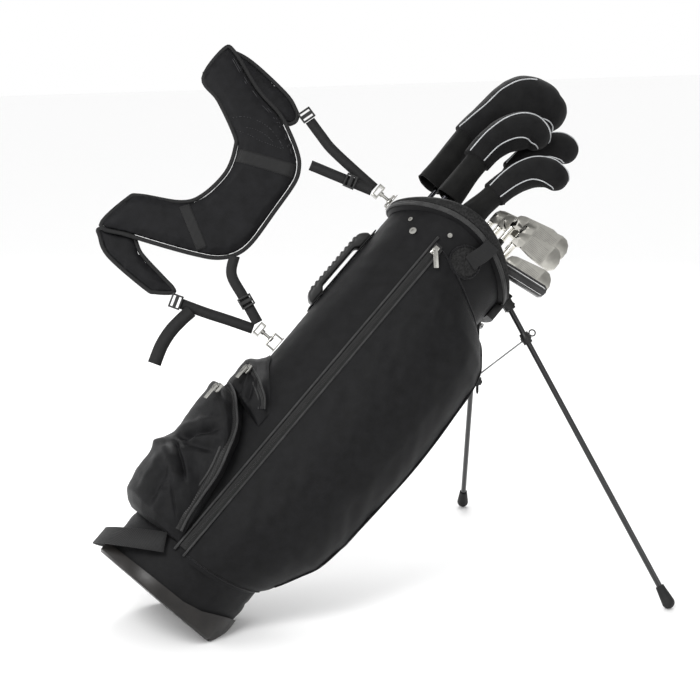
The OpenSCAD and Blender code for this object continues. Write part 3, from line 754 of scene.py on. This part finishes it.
BALL_DEPTH = [(-187, 132), (-183, 158), (-175, 178), (-164.5, 187), (-150, 190), (-137.5, 190.5), (-124.7, 181),
              (-113.3, 162), (-108, 149), (-104, 136)]
BALL_TOP = [(-187, 374), (-170, 374), (-156, 371), (-146, 364), (-136, 349), (-127, 326), (-120, 300),
            (-111.5, 235), (-107, 170), (-104, 104)]
BALL_RISE = [(0, 0.25), (0.02, 0.5), (0.08, 0.78), (0.2, 0.97), (0.36, 1.02), (0.46, 1.0), (0.52, 0.9),
             (0.58, 0.83), (0.7, 0.83), (0.84, 0.9), (0.93, 0.99), (0.975, 0.96), (0.99, 0.6), (1, 0.05)]


def ridge(x, z, a, b, width, height):
    """Fold along the line a-b in the x-z view: height at the line, fading over width and at its ends."""
    d = (b[0] - a[0], b[1] - a[1])
    length = math.hypot(*d)
    along = ((x - a[0]) * d[0] + (z - a[1]) * d[1]) / length
    off = ((x - a[0]) * d[1] - (z - a[1]) * d[0]) / length
    end = clamp(along / (0.18 * length) + 0.35) * clamp((length - along) / (0.3 * length))
    return height * end * bell(off, width)


# Folds as ridge takes them: both ends, width and height.
BALL_FOLDS = [((-160, 236), (-106, 300), 5, -12), ((-168, 250), (-112, 318), 9, 6),
              ((-160, 232), (-88, 182), 4.5, -12), ((-166, 216), (-92, 166), 10, 7),
              ((-146, 238), (-84, 262), 6, -7), ((-140, 258), (-84, 288), 8, 5),
              ((-184, 206), (-150, 248), 7, 6), ((-118, 176), (-58, 122), 2.0, -4),
              ((-158, 196), (-138, 108), 9, 6), ((-134, 186), (-118, 112), 6, -5),
              ((-112, 152), (-100, 104), 6, 4)]
POUCH_FOLDS = [((-70, 372), (-118, 436), 8, 4), ((-104, 366), (-138, 440), 5, -7),
               ((-124, 366), (-152, 430), 5, -5)]


def ball_fold(x, z):
    rough = 4.2 * wave(x, z, 5.7, 46) + 2.4 * wave(x + 0.5 * z, z, 12.5, 24) + 0.9 * wave(x, z, 3.1, 11)
    return rough + sum(ridge(x, z, *fold) for fold in BALL_FOLDS)


def ball_point(angle, t):
    z = lerp(curve_value([(-187, 97), (-137, 93), (-104, 97)], angle), curve_value(BALL_TOP, angle), t)
    r = lerp(POCKET_BASE, curve_value(BALL_DEPTH, angle), curve_value(BALL_RISE, t))
    weight = min(1, (angle + 188) / 10) * clamp((-106 - angle) / 8) * min(1, 12 * t, 9 * (1 - t))
    return polar(r + ball_fold(polar(r, angle, z).x, z) * weight, angle, z)


def zip_route(point, run, ends, low, top, steps):
    """Smooth zip path just off a pocket's skin, through the (x, z) points of run that meet it."""
    path = []
    for x, z in run:
        for i in range(200):
            angle = lerp(*ends, i / 200)
            t = (z - low) / max(1.0, curve_value(top, angle) - low)
            if 0 <= t <= 1 and point(angle, t).x <= x:
                path.append(point(angle, t))
                break
    return smooth_path([p + outward(p) for p in path], steps)


# Angles between which each pocket lies on the tube.
BALL_ENDS, POUCH_ENDS = (-104, -187), (-116, -186)
subdivide(piece("ball_pocket_cloth", *grid(lambda u, v: ball_point(lerp(*BALL_ENDS, u), v), 90, 90),
                MAT["pocket"], "bag", replaces=["ball_pocket"], slot="polyester"))

BALL_ZIP = [(-152, 368), (-142, 366), (-128, 356), (-107, 340), (-87, 312), (-71, 270), (-63, 228), (-60, 182),
            (-55, 140), (-48, 112)]
ball_zip = zip_route(ball_point, BALL_ZIP, BALL_ENDS, 95, BALL_TOP, 10)


def zip_tape(name, path, width):
    section = [(-width / 2, -0.6), (width / 2, -0.6), (width / 2, 0.7), (0, 1.1), (-width / 2, 0.7)]
    piece(name, *sweep(path, section, up=outward), MAT["zip"], "bag", slot="zip_tape")


def rolled_edges(name, path, gap, r):
    """Two sewn rolls either side of a zip."""
    for i, side_sign in enumerate((-1, 1)):
        moved = []
        for k, p in enumerate(path):
            d = direction(path, k)
            n = across(d, outward(p))
            moved.append(p + d.cross(n) * side_sign * gap + n * 0.6)
        piece(f"{name}_{i}", *sweep(moved, round_section(r, 8)), MAT["grey_piping"], "bag", slot="zip_tape")


zip_tape("ball_zip_tape", ball_zip, 15)
zip_chain("ball_zip_teeth", [p + outward(p) * 0.8 for p in ball_zip[6:]], outward)
rolled_edges("ball_zip_roll", ball_zip, 8.4, 2.2)

POUCH_DEPTH = [(-186, 132), (-182, 148), (-175.7, 158), (-165.8, 163), (-152.2, 166), (-139.2, 160), (-127, 147),
               (-120, 137), (-116, 131.8)]
POUCH_TOP = [(-186, 474), (-172, 474), (-160, 464), (-150, 446), (-140, 430), (-128, 408), (-116, 376)]
POUCH_RISE = [(0, 0.05), (0.05, 0.55), (0.14, 0.9), (0.25, 1.0), (0.45, 1.0), (0.66, 1.0), (0.73, 0.86),
              (0.8, 0.42), (0.92, 0.12), (1, 0.02)]


def pouch_point(angle, t):
    z = lerp(curve_value([(-186, 366), (-150, 364), (-116, 344)], angle), curve_value(POUCH_TOP, angle), t)
    r = lerp(POCKET_BASE, curve_value(POUCH_DEPTH, angle), curve_value(POUCH_RISE, t))
    x = polar(r, angle, z).x
    weight = min(1, (angle + 187) / 8) * clamp((-117 - angle) / 8) * min(1, 6 * (1 - t))
    fold = 3.0 * wave(x, z, 2.2, 26) + sum(ridge(x, z, *crease) for crease in POUCH_FOLDS)
    return polar(r + fold * weight, angle, z)


subdivide(piece("accessory_pocket_cloth", *grid(lambda u, v: pouch_point(lerp(*POUCH_ENDS, u), v), 60, 44),
                MAT["pocket"], "bag", replaces=["accessory_pocket"], slot="polyester"))
POUCH_ZIP = [(-146, 412), (-136, 417), (-118, 412), (-100, 402), (-84, 392), (-72, 380)]
pouch_zip = zip_route(pouch_point, POUCH_ZIP, POUCH_ENDS, 366, POUCH_TOP, 8)
zip_tape("accessory_zip_tape", pouch_zip, 11)
rolled_edges("accessory_zip_roll", pouch_zip, 6.2, 1.6)

# ---------- patch, handle and loop ----------


PATCH_TURN, PATCH_Z, PATCH_R = -74, 819.0, 30.0


def on_tube(lift, along, z):
    """Place on the tube's near side, measured round it in mm from the patch's middle."""
    return polar(TUBE_R + lift, PATCH_TURN + math.degrees(along / TUBE_R), PATCH_Z + z)


def scallop_patch():
    """Hook-and-loop glove patch: a soft disc with an overlocked edge."""
    verts, rings, sides = [], 9, 96
    for k in range(rings + 1):
        t = k / rings
        for a in circle(sides):
            reach = PATCH_R * t * (1 + 0.05 * math.sin(12 * a) * t ** 3)
            x, z = reach * math.cos(a), reach * math.sin(a)
            height = 5.5 - 1.5 * t ** 4 + 0.5 * math.sin(x * 0.9 + z * 0.4) * (k < rings - 1)
            verts.append(on_tube(height if k < rings else 0.4, x, z))
    return verts, ring_faces(rings + 1, sides)


piece("glove_patch_cloth", *scallop_patch(), MAT["foam"], "bag", replaces=["glove_patch"], slot="padding")
stitch = [on_tube(3.4, 29.4 * math.cos(a), 29.4 * math.sin(a)) for a in circle(72)]
scallops = [p + outward(p) * (1.7 * math.sin(i * 2.2)) for i, p in enumerate(stitch)]
piece("glove_patch_edge", *sweep(scallops, round_section(2.1, 8), True), MAT["piping"], "bag", slot="padding")
tab = [polar(TUBE_R + 6.2, -71, 822), polar(TUBE_R + 7.0, -70, 836), polar(COLLAR_R + 2.2, -69, 850),
       polar(COLLAR_R + 3.4, -68.5, 862), polar(COLLAR_R + 2.4, -68, 872), polar(COLLAR_R - 4, -68, 878.6),
       polar(135, -68, 880.4), polar(127.5, -68, 878), polar(124.6, -68, 868)]
piece("glove_patch_tab", *sweep(smooth_path(tab, 6), webbing_section(31, 2.0), up=outward), MAT["webbing"],
      "bag", smooth=False, slot="webbing")


def handle_body():
    """Moulded grip: a block that hugs the spine, flat on top with ribs across it, round at both ends."""
    verts, rows, sides = [], 113, 28
    for j in range(rows):
        z = lerp(601, 773, j / (rows - 1))
        rise = math.sin(math.pi / 2 * clamp(min((z - 598) / 20, (776 - z) / 20))) ** 0.7
        top, half_width = lerp(135.5, 154.0, rise), lerp(13.0, 17.0, rise)
        clear = clamp(min((z - 628) / 14, (746 - z) / 14))
        under = lerp(131.8, 140.5, clear * clear * (3 - 2 * clear))
        rib = max(0.0, math.sin((z - 622) * math.pi / 6.2)) ** 0.6 * (622 < z < 752)
        for a in circle(sides):
            c, d = (math.copysign(abs(part) ** 0.5, part) for part in (math.cos(a), math.sin(a)))
            x = (top + under) / 2 + c * (top - under) / 2 + 2.6 * rib * clamp((c - 0.4) / 0.5)
            verts.append(Vector((-x, d * half_width, z)))
    ends = [tuple(range(sides)), tuple(range((rows - 1) * sides, rows * sides))]
    return verts, ring_faces(rows, sides) + ends


piece("lift_handle_grip", *handle_body(), MAT["plastic"], "bag", replaces=["lift_handle"], slot="black_plastic")
strap_under = [Vector((-TUBE_R - 1.6, 0, z)) for z in (588, 620, 652, 688, 724, 756, 786)]
piece("lift_handle_webbing", *sweep(smooth_path(strap_under, 6), webbing_section(38, 2.4), up=outward),
      MAT["webbing"], "bag", slot="webbing")

LOOP_R, LOOP_TILT = 135, math.radians(31)
loop = []
for i in range(61):
    a = math.radians(96 + 168 * i / 60)
    reach = LOOP_R * math.cos(a)
    x, z = -38 + reach * math.cos(LOOP_TILT), 90 + reach * math.sin(LOOP_TILT)
    loop.append(Vector((x, LOOP_R * math.sin(a), z)))
piece("grab_loop_webbing", *sweep(loop, webbing_section(37, 2.2), up=outward), MAT["webbing"], "bag",
      replaces=["grab_loop"], slot="webbing")

# ---------- finer copies of hard CAD parts ----------


def soften(node, width, material, segments=2, second=None):
    """Redraws a hard part with small rounded edges; second = (material, test of face normal and centre)."""
    source = nodes[node]
    mesh = source.data.copy()
    mesh.transform(source.matrix_world)
    mesh.materials.clear()
    bm = bmesh.new()
    bm.from_mesh(mesh)
    bmesh.ops.remove_doubles(bm, verts=bm.verts, dist=2e-6)
    bmesh.ops.dissolve_limit(bm, angle_limit=math.radians(1.0), verts=bm.verts, edges=bm.edges)
    bm.to_mesh(mesh)
    bm.free()
    obj = bpy.data.objects.new(node + "_fine", mesh)
    scene.collection.objects.link(obj)
    mesh.materials.append(material)
    bevel = obj.modifiers.new("bevel", "BEVEL")
    bevel.width = width * MM
    bevel.segments = segments
    bevel.limit_method = "ANGLE"
    bevel.angle_limit = math.radians(28)
    apply_modifiers(obj)
    mesh = obj.data
    shade_smooth(mesh)
    bm = bmesh.new()
    bm.from_mesh(mesh)
    for e in bm.edges:
        e.smooth = len(e.link_faces) != 2 or e.calc_face_angle(0) < math.radians(34)
    bm.to_mesh(mesh)
    bm.free()
    if second:
        mesh.materials.append(second[0])
        for p in mesh.polygons:
            if second[1](p.normal, p.center):
                p.material_index = 1
    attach(obj, body_of[node])
    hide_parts(node)
    return obj


body_of = {n: b for b, names in frame["record"]["behaviour"]["bodies"].items() for n in names}
for rubber_node in ("base_boot", "base_toe"):
    soften(rubber_node, 3.0, MAT["rubber"], segments=3)
soften("hinge_bracket", 1.2, MAT["plastic"])
soften("harness_buckles", 0.5, MAT["plastic"])
soften("harness_hooks", 0.5, MAT["nickel"])
for side in ("near", "far"):
    soften(f"{side}_leg_fittings", 0.7, MAT["plastic"])
for zip_node in ("main_zip_slider", "main_zip_pull", "ball_zip_pull", "accessory_zip_pull", "pocket_sliders"):
    soften(zip_node, 0.35, MAT["nickel"])
soften("putter_head", 1.2, MAT["putter"])

# ---------- irons ----------

# Middles of the heads, where each shaft meets its blade.
IRONS = [(24, 102, 1012), (43, 76, 1006), (62, 49, 1014), (84, 25, 1008), (85, -2, 973), (98, -29, 917)]
LOFT = Matrix.Rotation(math.radians(-12), 4, "X")


def blade_frame(at):
    return BAG @ Matrix.Translation(Vector(at)) @ LOFT


def plate(outline, y0, y1):
    """Flat solid between two depths, from an outline of (x, z) points."""
    n = len(outline)
    verts = [Vector((x, y, z)) for y in (y0, y1) for x, z in outline]
    faces = [tuple(range(n)), tuple(range(2 * n - 1, n - 1, -1))]
    return verts, faces + [(i, (i + 1) % n, (i + 1) % n + n, i + n) for i in range(n)]


FACE_OUTLINE = [(15, -32.4), (34, -31.8), (62, -31.8), (63.5, -29), (65, 15.5), (63, 17.2), (34, 8.4), (17, 3.2),
                (15, 1.5)]


def face_lines():
    """Nine scoring lines across the striking face, as thin dark strips whose colour is painted shade standing in
    for the grooves.
    """
    parts = []
    for i in range(9):
        z = -26.5 + i * 3.6
        path = [Vector((max(18, 7 + (z + 1) * 27 / 8), -2.66, z)), Vector((60, -2.66, z))]
        parts.append(sweep(path, [(-0.5, -0.1), (0.5, -0.1), (0.5, 0.2), (-0.5, 0.2)], up=facing))
    return join(parts)


for letter, at in zip("abcdef", IRONS):
    place = blade_frame(at)
    turn = place.inverted()
    spin = turn.to_3x3().normalized()

    def is_face(normal, centre, turn=turn, spin=spin):
        p, n = turn @ centre, spin @ normal
        return n.y < -0.9 and 13 < p.x < 66 and p.z > -34

    soften(f"iron_{letter}_head", 0.9, MAT["iron_polish"], second=(MAT["iron_satin"], is_face))
    # The scoring lines sit on the face in a darker metal, which is painted shade for the grooves.
    piece(f"iron_{letter}_lines", *face_lines(), MAT["groove"], f"iron_{letter}", smooth=False, place=place,
          slot="iron_face")
    piece(f"iron_{letter}_face", *plate(FACE_OUTLINE, -2.72, -2.5), MAT["iron_satin"], f"iron_{letter}",
          smooth=False, place=place, slot="iron_face")
    hosel = [Vector((0, 0, at[2] - drop)) for drop in (74.5, 66)]
    piece(f"iron_{letter}_ferrule", *sweep(hosel, round_section(6.9, 24)), MAT["plastic"], f"iron_{letter}",
          place=BAG @ Matrix.Translation(Vector((at[0], at[1], 0))), slot="black_plastic")
PUTTER = BAG @ Matrix.Translation(Vector((96, -57, 886))) @ Matrix.Rotation(math.radians(-8), 4, "Y")
# Painted lines on the putter: height, depth, depth and height at the toe, and radius.
SIGHT_LINES = [(-3.2, -12.1, -11.0, -4.7, 0.7), (-17.6, -10.1, -9, -16.1, 0.5)]
for i, (z, y, end_y, end_z, r) in enumerate(SIGHT_LINES):
    line = [Vector((-7, y, z)), Vector((83, y, z)), Vector((89.5, end_y, end_z))]
    piece(f"putter_line_{i}", *sweep(line, round_section(r, 8)), MAT["sight"], "putter", place=PUTTER,
          slot="club_steel")

# ---------- head covers ----------


def loft_tube(spine):
    """Smooth tube with a round end, from spine points (x, z, half width in view, half depth, y)."""
    sides, steps, last = 48, 8, len(spine) - 1
    fine = []
    for i in range(last):
        near = [spine[max(0, min(last, i + k))] for k in (-1, 0, 1, 2)]
        fine += [[catmull_rom(*values, s / steps) for values in zip(*near)] for s in range(steps)]
    fine.append(spine[-1])
    middle = [Vector((x, 0, z)) for x, z, *_ in fine]
    rows = []
    for i, (x, z, w, d, y) in enumerate(fine):
        rows.append((Vector((x, y, z)), direction(middle, i), w, d))
    centre, tangent, w, d = rows[-1]
    for k in range(1, 9):
        phi = math.radians(k * 11)
        shrink = math.cos(phi)
        rows.append((centre + tangent * w * 0.92 * math.sin(phi), tangent, w * shrink, d * shrink))
    depth = Vector((0, 1, 0))
    verts = []
    for centre, tangent, w, d in rows:
        side = tangent.cross(depth).normalized()
        verts += [centre + side * w * math.cos(a) + depth * d * math.sin(a) for a in circle(sides)]
    count = len(rows)
    ends = [tuple(range(sides)), tuple(reversed(range((count - 1) * sides, count * sides)))]
    return verts, ring_faces(count, sides) + ends


def neck_tube(x0, z0, r0, x1, z1, r1, y0, y1, seed):
    """Knitted neck: an open sleeve with a thick lower edge, soft folds and a slightly closed waist."""
    sides, steps = 72, 40

    def ring(t, inset):
        r = lerp(r0, r1, t) * (1 - 0.07 * math.sin(math.pi * t)) - inset
        cx, cy, cz = lerp(x0, x1, t), lerp(y0, y1, t), lerp(z0, z1, t)
        out = []
        for a in circle(sides):
            fold = 1.1 * wave(math.cos(a) * 2.4, math.sin(a) * 2.4, t * 1.7 + seed, 1.0)
            fold += 0.7 * math.sin(3 * a + 4 * t + seed) * math.sin(math.pi * t)
            fold += 0.9 * bell(t - 0.97, 0.05) - 0.9 * bell(t - 0.03, 0.03)
            edge_dip = 1.6 * math.sin(2 * a + seed) * (1 - t)
            out.append(Vector((cx + (r + fold) * math.cos(a), cy + (r + fold) * math.sin(a), cz + edge_dip)))
        return out

    verts = []
    for j in range(steps + 1):
        verts += ring(j / steps, 0)
    for j in range(steps, -1, -1):
        verts += ring(j / steps, 3.0)
    return verts, ring_faces(2 * (steps + 1), sides, closed=True)


def skin_line(obj, points, lift):
    """Points (x, z) carried back onto an object's near skin, in the bag frame."""
    tree = BVHTree.FromPolygons([BAG_INV @ v.co for v in obj.data.vertices],
                                [tuple(p.vertices) for p in obj.data.polygons])
    out = []
    for x, z in points:
        place, normal, _, _ = tree.ray_cast(Vector((x, -420, z)), Vector((0, 1, 0)))
        if place is not None:
            out.append(place + normal.normalized() * (lift if normal.y < 0 else -lift))
    return out


def on_skin(obj, points, lift, steps=10):
    return skin_line(obj, [(p.x, p.z) for p in smooth_path([(x, 0, z) for x, z in points], steps)], lift)


def cover(club, spine, neck, lines, seed):
    """Head cover: a padded head, its piping lines as (points, radius), and a knitted neck."""
    node = f"{club}_cover"
    head = piece(f"{node}_head", *loft_tube(spine), MAT["neoprene"], body_of[node], replaces=[node],
                 slot="knit_cover")
    simulate(head, 3.0, pressure=2.5, voxel=0.0035, frames=14, stiff=20.0)
    bag_points = [BAG_INV @ v.co for v in head.data.vertices]
    for v, p in zip(head.data.vertices, bag_points):
        shift = 0.7 * wave(p.x + seed * 31, p.y, p.z, 24) + 0.35 * wave(p.x, p.y + seed * 17, p.z, 11)
        v.co = v.co + v.normal * shift * MM
    piece(f"{node}_neck", *neck_tube(*neck, seed), MAT["sock"], body_of[node], slot="knit_cover")
    for i, (points, r) in enumerate(lines):
        piece(f"{node}_piping_{i}", *sweep(on_skin(head, points, 0.5), round_section(r, 10)),
              MAT["silver_piping"], body_of[node], slot="knit_cover")


# Middles of the covered club heads, which are drawn smaller so that their covers hide them.
COVERED = (("driver_club", (-61, 64, 1207)), ("fairway_club", (-37, -38, 1116)),
           ("near_hybrid_club", (42, -92, 1060)), ("far_hybrid_club", (30, 10, 1151)))
for node, middle in COVERED:
    slim = soften(node, 0.3, MAT["graphite"])
    centre = Vector(middle)
    for v in slim.data.vertices:
        p = BAG_INV @ v.co
        if p.z > centre.z - 62:
            shrink = lerp(1.0, 0.74, min(1.0, (p.z - centre.z + 62) / 20))
            v.co = BAG @ (centre + (p - centre) * shrink)


cover("driver", [(-119, 1060, 30, 31, 44), (-115, 1092, 32, 35, 50), (-105, 1130, 40, 45, 58),
                 (-91, 1170, 52, 57, 63), (-75, 1196, 58, 61, 64), (-52, 1212, 51, 55, 64),
                 (-32, 1214, 42, 46, 64)],
      (-113, 938, 29, -119, 1070, 24.5, 38, 44),
      [([(-142, 1064), (-139, 1082), (-136, 1103), (-131, 1134), (-129, 1156), (-126, 1178), (-115, 1206),
         (-100, 1226), (-86, 1238)], 1.25),
       ([(-46, 1176), (-34, 1184), (-20, 1190), (-6, 1192), (4, 1190)], 1.25)], 1.3)
cover("fairway", [(-71, 1010, 29, 29, -38), (-71, 1045, 30, 33, -38), (-64, 1078, 33, 37, -38),
                  (-50, 1106, 36, 41, -38), (-33, 1123, 35, 41, -38), (-16, 1127, 30, 36, -38)],
      (-66, 918, 27, -70, 1022, 23.5, -38, -38),
      [([(-92, 1012), (-92, 1040), (-90, 1066), (-81, 1103), (-64, 1131), (-40, 1146), (-16, 1147), (6, 1137),
         (13, 1126)], 1.2),
       ([(-60, 1012), (-57, 1050), (-46, 1078), (-30, 1096), (-10, 1103), (6, 1106)], 1.2)], 2.1)
cover("near_hybrid", [(-4, 962, 26, 25, -92), (2, 992, 26, 28, -92), (11, 1022, 28, 32, -92),
                      (26, 1048, 29, 34, -92), (46, 1064, 28, 33, -92), (66, 1068, 25, 29, -92)],
      (-11, 906, 26, -2, 974, 21.5, -92, -92),
      [([(-20, 962), (-17, 1000), (-8, 1036), (10, 1066), (36, 1084), (62, 1087), (82, 1080), (91, 1070)], 1.1),
       ([(8, 962), (18, 1000), (33, 1027), (58, 1042), (80, 1046), (90, 1050)], 1.1)], 3.7)
cover("far_hybrid", [(-7, 1054, 24, 24, 10), (-3, 1086, 25, 27, 10), (6, 1116, 28, 31, 10),
                     (19, 1138, 31, 33, 10), (34, 1154, 31, 33, 10), (44, 1159, 28, 30, 10)],
      (2, 998, 21.5, -7, 1064, 20, 12, 10),
      [([(-26, 1058), (-25, 1090), (-19, 1122), (-6, 1150), (14, 1174), (38, 1182), (58, 1176)], 1.1),
       ([(8, 1062), (14, 1092), (26, 1116), (46, 1130), (64, 1138)], 1.1)], 4.4)

# ---------- harness ----------


def cushion(name, outline, y0, y1, cap, pressure, replaces=()):
    """Foam panel sewn between two cloths: crowned in the middle and pinched at its edge."""
    edge = [(p.x, p.z) for p in smooth_path([(x, 0, z) for x, z in outline], 6, closed=True)]
    obj = piece(name, *plate(edge, y0, y1), MAT["strap_cloth"], "harness", replaces=replaces, slot="padding")
    simulate(obj, cap, pressure=pressure, voxel=0.005, frames=18, stiff=12.0)
    middle = (y0 + y1) / 2
    for v in obj.data.vertices:
        p = BAG_INV @ v.co
        near = min(math.hypot(p.x - x, p.z - z) for x, z in edge)
        pinch = lerp(0.42, 1.0, min(1.0, near / 15) ** 0.7)
        rumple = 1.0 * wave(p.x, p.y * 0.2, p.z, 34) + 0.45 * wave(p.x, p.y * 0.2, p.z, 15)
        side_sign = 1 if p.y > middle else -1
        p.y = middle + (p.y - middle) * pinch + side_sign * rumple * min(1.0, near / 12)
        v.co = BAG @ p
    section = [(-3.3, -3.6), (3.3, -3.6), (4.0, 0), (3.3, 3.6), (-3.3, 3.6), (-4.0, 0)]
    piece(name + "_binding", *sweep([Vector((x, middle, z)) for x, z in edge], section, True, up=facing),
          MAT["webbing"], "harness", slot="webbing")
    return obj


PAD = [(-580, 872), (-572, 802), (-523, 788), (-457, 757), (-438, 738), (-420, 690), (-424, 628), (-446, 590),
       (-512, 549), (-526, 528), (-530, 458), (-482, 476), (-411, 507), (-357, 533), (-325, 553), (-304, 580),
       (-296, 617), (-302, 690), (-309, 758), (-321, 787), (-341, 807), (-378, 828), (-417, 844), (-480, 854),
       (-560, 881)]
pad = cushion("harness_pad_cloth", PAD, -6.0, 6.0, 5.0, 5.0, replaces=["harness_pad"])
ARM_HIGH = [(-578, 868), (-570, 881), (-525, 891), (-436, 886), (-402, 875), (-390, 866), (-388, 852), (-404, 840),
            (-470, 838), (-560, 848)]
ARM_LOW = [(-528, 455), (-520, 443), (-483, 425), (-392, 423), (-372, 429), (-347, 450), (-354, 457), (-380, 460),
           (-440, 468), (-480, 484)]
cushion("harness_arm_high", ARM_HIGH, 9.0, 16.5, 3.0, 4.0, replaces=["harness_arms"])
cushion("harness_arm_low", ARM_LOW, 9.0, 16.5, 3.0, 4.0)


def fold_roll(name, *ends):
    """Where an arm turns back behind the pad: a soft roll along the fold."""
    (x0, z0), (x1, z1) = ends
    path = smooth_path([(x0, 5.6, z0), (lerp(x0, x1, 0.5), 5.6, lerp(z0, z1, 0.5)), (x1, 5.6, z1)], 10)
    section = [(9.5 * math.cos(a), 11.5 * math.sin(a)) for a in circle(20)]
    piece(name, *sweep(path, section, up=facing), MAT["strap_cloth"], "harness", slot="padding")


fold_roll("harness_fold_high", (-572, 810), (-568, 874))
fold_roll("harness_fold_low", (-522, 522), (-523, 462))


def strip(name, points, y, width):
    """Flat strap at one depth, through (x, z) points."""
    section = [(-width / 2, -1.0), (width / 2, -1.0), (width / 2, 1.0), (-width / 2, 1.0)]
    return piece(name, *sweep(smooth_path([(x, y, z) for x, z in points], 10), section, up=facing),
                 MAT["webbing"], "harness", slot="webbing")


# Each strap: (x, z) points, depth and width.
straps = [("high_back", [(-366, 874), (-334, 866), (-300, 858.5), (-244, 855), (-188, 853)], 5, 20),
          ("high_front", [(-308, 805), (-290, 811), (-268, 818), (-228, 831), (-188, 844)], -3, 20),
          ("low_back", [(-320, 443), (-276, 459), (-232, 477), (-188, 494)], 5, 20),
          ("low_front", [(-303, 576), (-284, 545), (-240, 527), (-188, 507)], -3, 20),
          ("tail", [(-297, 444), (-300, 420), (-301, 390), (-296, 358), (-284, 324)], 1, 25)]
for i, (name, points, y, width) in enumerate(straps):
    made = strip("harness_strap_" + name, points, y, width)
    if i == 0:
        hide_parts("harness_straps")


def laid_band(name, a, b, width, lift):
    """A strip sewn across the pad, following its crown on the near face."""
    cols = 7
    d = Vector((b[0] - a[0], b[1] - a[1])).normalized()
    n = Vector((-d.y, d.x))
    rows = []
    for i in range(31):
        middle = Vector(a).lerp(Vector(b), i / 30)
        rows.append(skin_line(pad, [middle + n * width * (k / (cols - 1) - 0.5) for k in range(cols)], lift))
    rows = [r for r in rows if len(r) == cols]
    verts = [p for r in rows for p in r]
    last, total = len(rows) - 1, len(verts)
    corners = [j * cols + k for j in range(last) for k in range(cols - 1)]
    faces = [(c, c + 1, c + 1 + cols, c + cols) for c in corners]
    faces += [tuple(total + i for i in reversed(f)) for f in faces]
    rim = list(range(cols)) + [j * cols + cols - 1 for j in range(1, last + 1)]
    rim += [last * cols + k for k in range(cols - 2, -1, -1)] + [j * cols for j in range(last - 1, 0, -1)]
    faces += [(p, q, total + q, total + p) for p, q in zip(rim, rim[1:] + rim[:1])]
    back = [p + Vector((0, 1.6, 0)) for p in verts]
    piece(name, verts + back, faces, MAT["webbing"], "harness", slot="webbing")


laid_band("harness_band_high", (-428, 726), (-316, 777), 27, 1.3)
laid_band("harness_band_low", (-436, 587), (-352, 543), 20, 1.3)


def stitches(name, points):
    """Dashed thread along a line on the pad."""
    length, pitch = 3.4, 5.2
    path = on_skin(pad, points, 0.5, 14)
    parts, run, dash = [], 0.0, []
    for i, p in enumerate(path):
        run += (p - path[max(i - 1, 0)]).length
        if run % pitch < length:
            dash.append(p)
        if (run % pitch >= length or i == len(path) - 1) and dash:
            if len(dash) > 1:
                parts.append(sweep(dash, round_section(0.55, 5)))
            dash = []
    piece(name, *join(parts), MAT["thread"], "harness", slot="webbing")


stitches("harness_arc_high", [(-478, 778), (-462, 793), (-440, 803), (-415, 807), (-388, 803), (-366, 794)])
stitches("harness_arc_low", [(-456, 764), (-436, 771), (-412, 776), (-390, 784), (-370, 791)])
stitches("harness_arc_inner", [(-446, 779), (-430, 788), (-408, 792), (-390, 791)])
for i, shift in enumerate((12, 16)):
    stitches(f"harness_edge_{i}", [(-556 + shift * 0.2, 881 - shift), (-480, 854 - shift), (-417, 844 - shift),
                                   (-378, 828 - shift), (-346, 806 - shift)])

# ---------- floor, backdrop and light ----------


def stage_plane(name, size, where, turn, material):
    mesh = bpy.data.meshes.new(name)
    s = size / 2
    mesh.from_pydata([(-s, -s, 0), (s, -s, 0), (s, s, 0), (-s, s, 0)], [], [(0, 1, 2, 3)])
    obj = bpy.data.objects.new(name, mesh)
    obj.location, obj.rotation_euler = where, turn
    scene.collection.objects.link(obj)
    mesh.materials.append(material)


def matte(name, grey, rough):
    n = Nodes(name)
    n.shader.inputs["Base Color"].default_value = (grey, grey, grey, 1)
    n.shader.inputs["Roughness"].default_value = rough
    return n.material


def towards(where, target, way):
    """Turn that points an object's own way at the target."""
    return (Vector(target) - Vector(where)).to_track_quat(way, "Y").to_euler()


def soft_light(name, where, size, power):
    data = bpy.data.lights.new(name, "AREA")
    data.shape = "RECTANGLE"
    data.size, data.size_y = size
    data.energy = power
    obj = bpy.data.objects.new(name, data)
    obj.location = where
    obj.rotation_euler = towards(where, (0.2, 0, 0.5), "-Z")
    scene.collection.objects.link(obj)


def dark_card(name, where, size):
    """A black flag out of view, so that bright metal has something dark to reflect."""
    stage_plane(name, size, where, towards(where, (0.3, 0, 0.6), "Z"), card)


stage_plane("floor", 30, (0, 0, -0.0006), (0, 0, 0), matte("paper", 0.96, 0.85))
card = matte("card", 0.02, 0.9)
dark_card("card_right", (2.7, -2.1, 2.8), 1.6)
dark_card("card_left", (-2.9, -0.2, 2.7), 1.5)
dark_card("card_top", (0.3, -0.6, 3.6), 1.7)
soft_light("key", (-1.9, -1.6, 2.9), (1.2, 1.2), 70)
soft_light("front", (0.9, -3.4, 1.3), (2.4, 1.6), 12)
soft_light("rim_back", (1.6, 2.2, 2.3), (1.6, 1.2), 40)
soft_light("left_edge", (-2.6, 0.6, 1.1), (0.9, 1.8), 22)
world = bpy.data.worlds.new("studio")
scene.world = world
world.use_nodes = True
back = next(n for n in world.node_tree.nodes if n.type == "BACKGROUND")
back.inputs["Color"].default_value = (1.0, 1.0, 1.0, 1)
back.inputs["Strength"].default_value = 1.0
scene.view_settings.view_transform = "Standard"
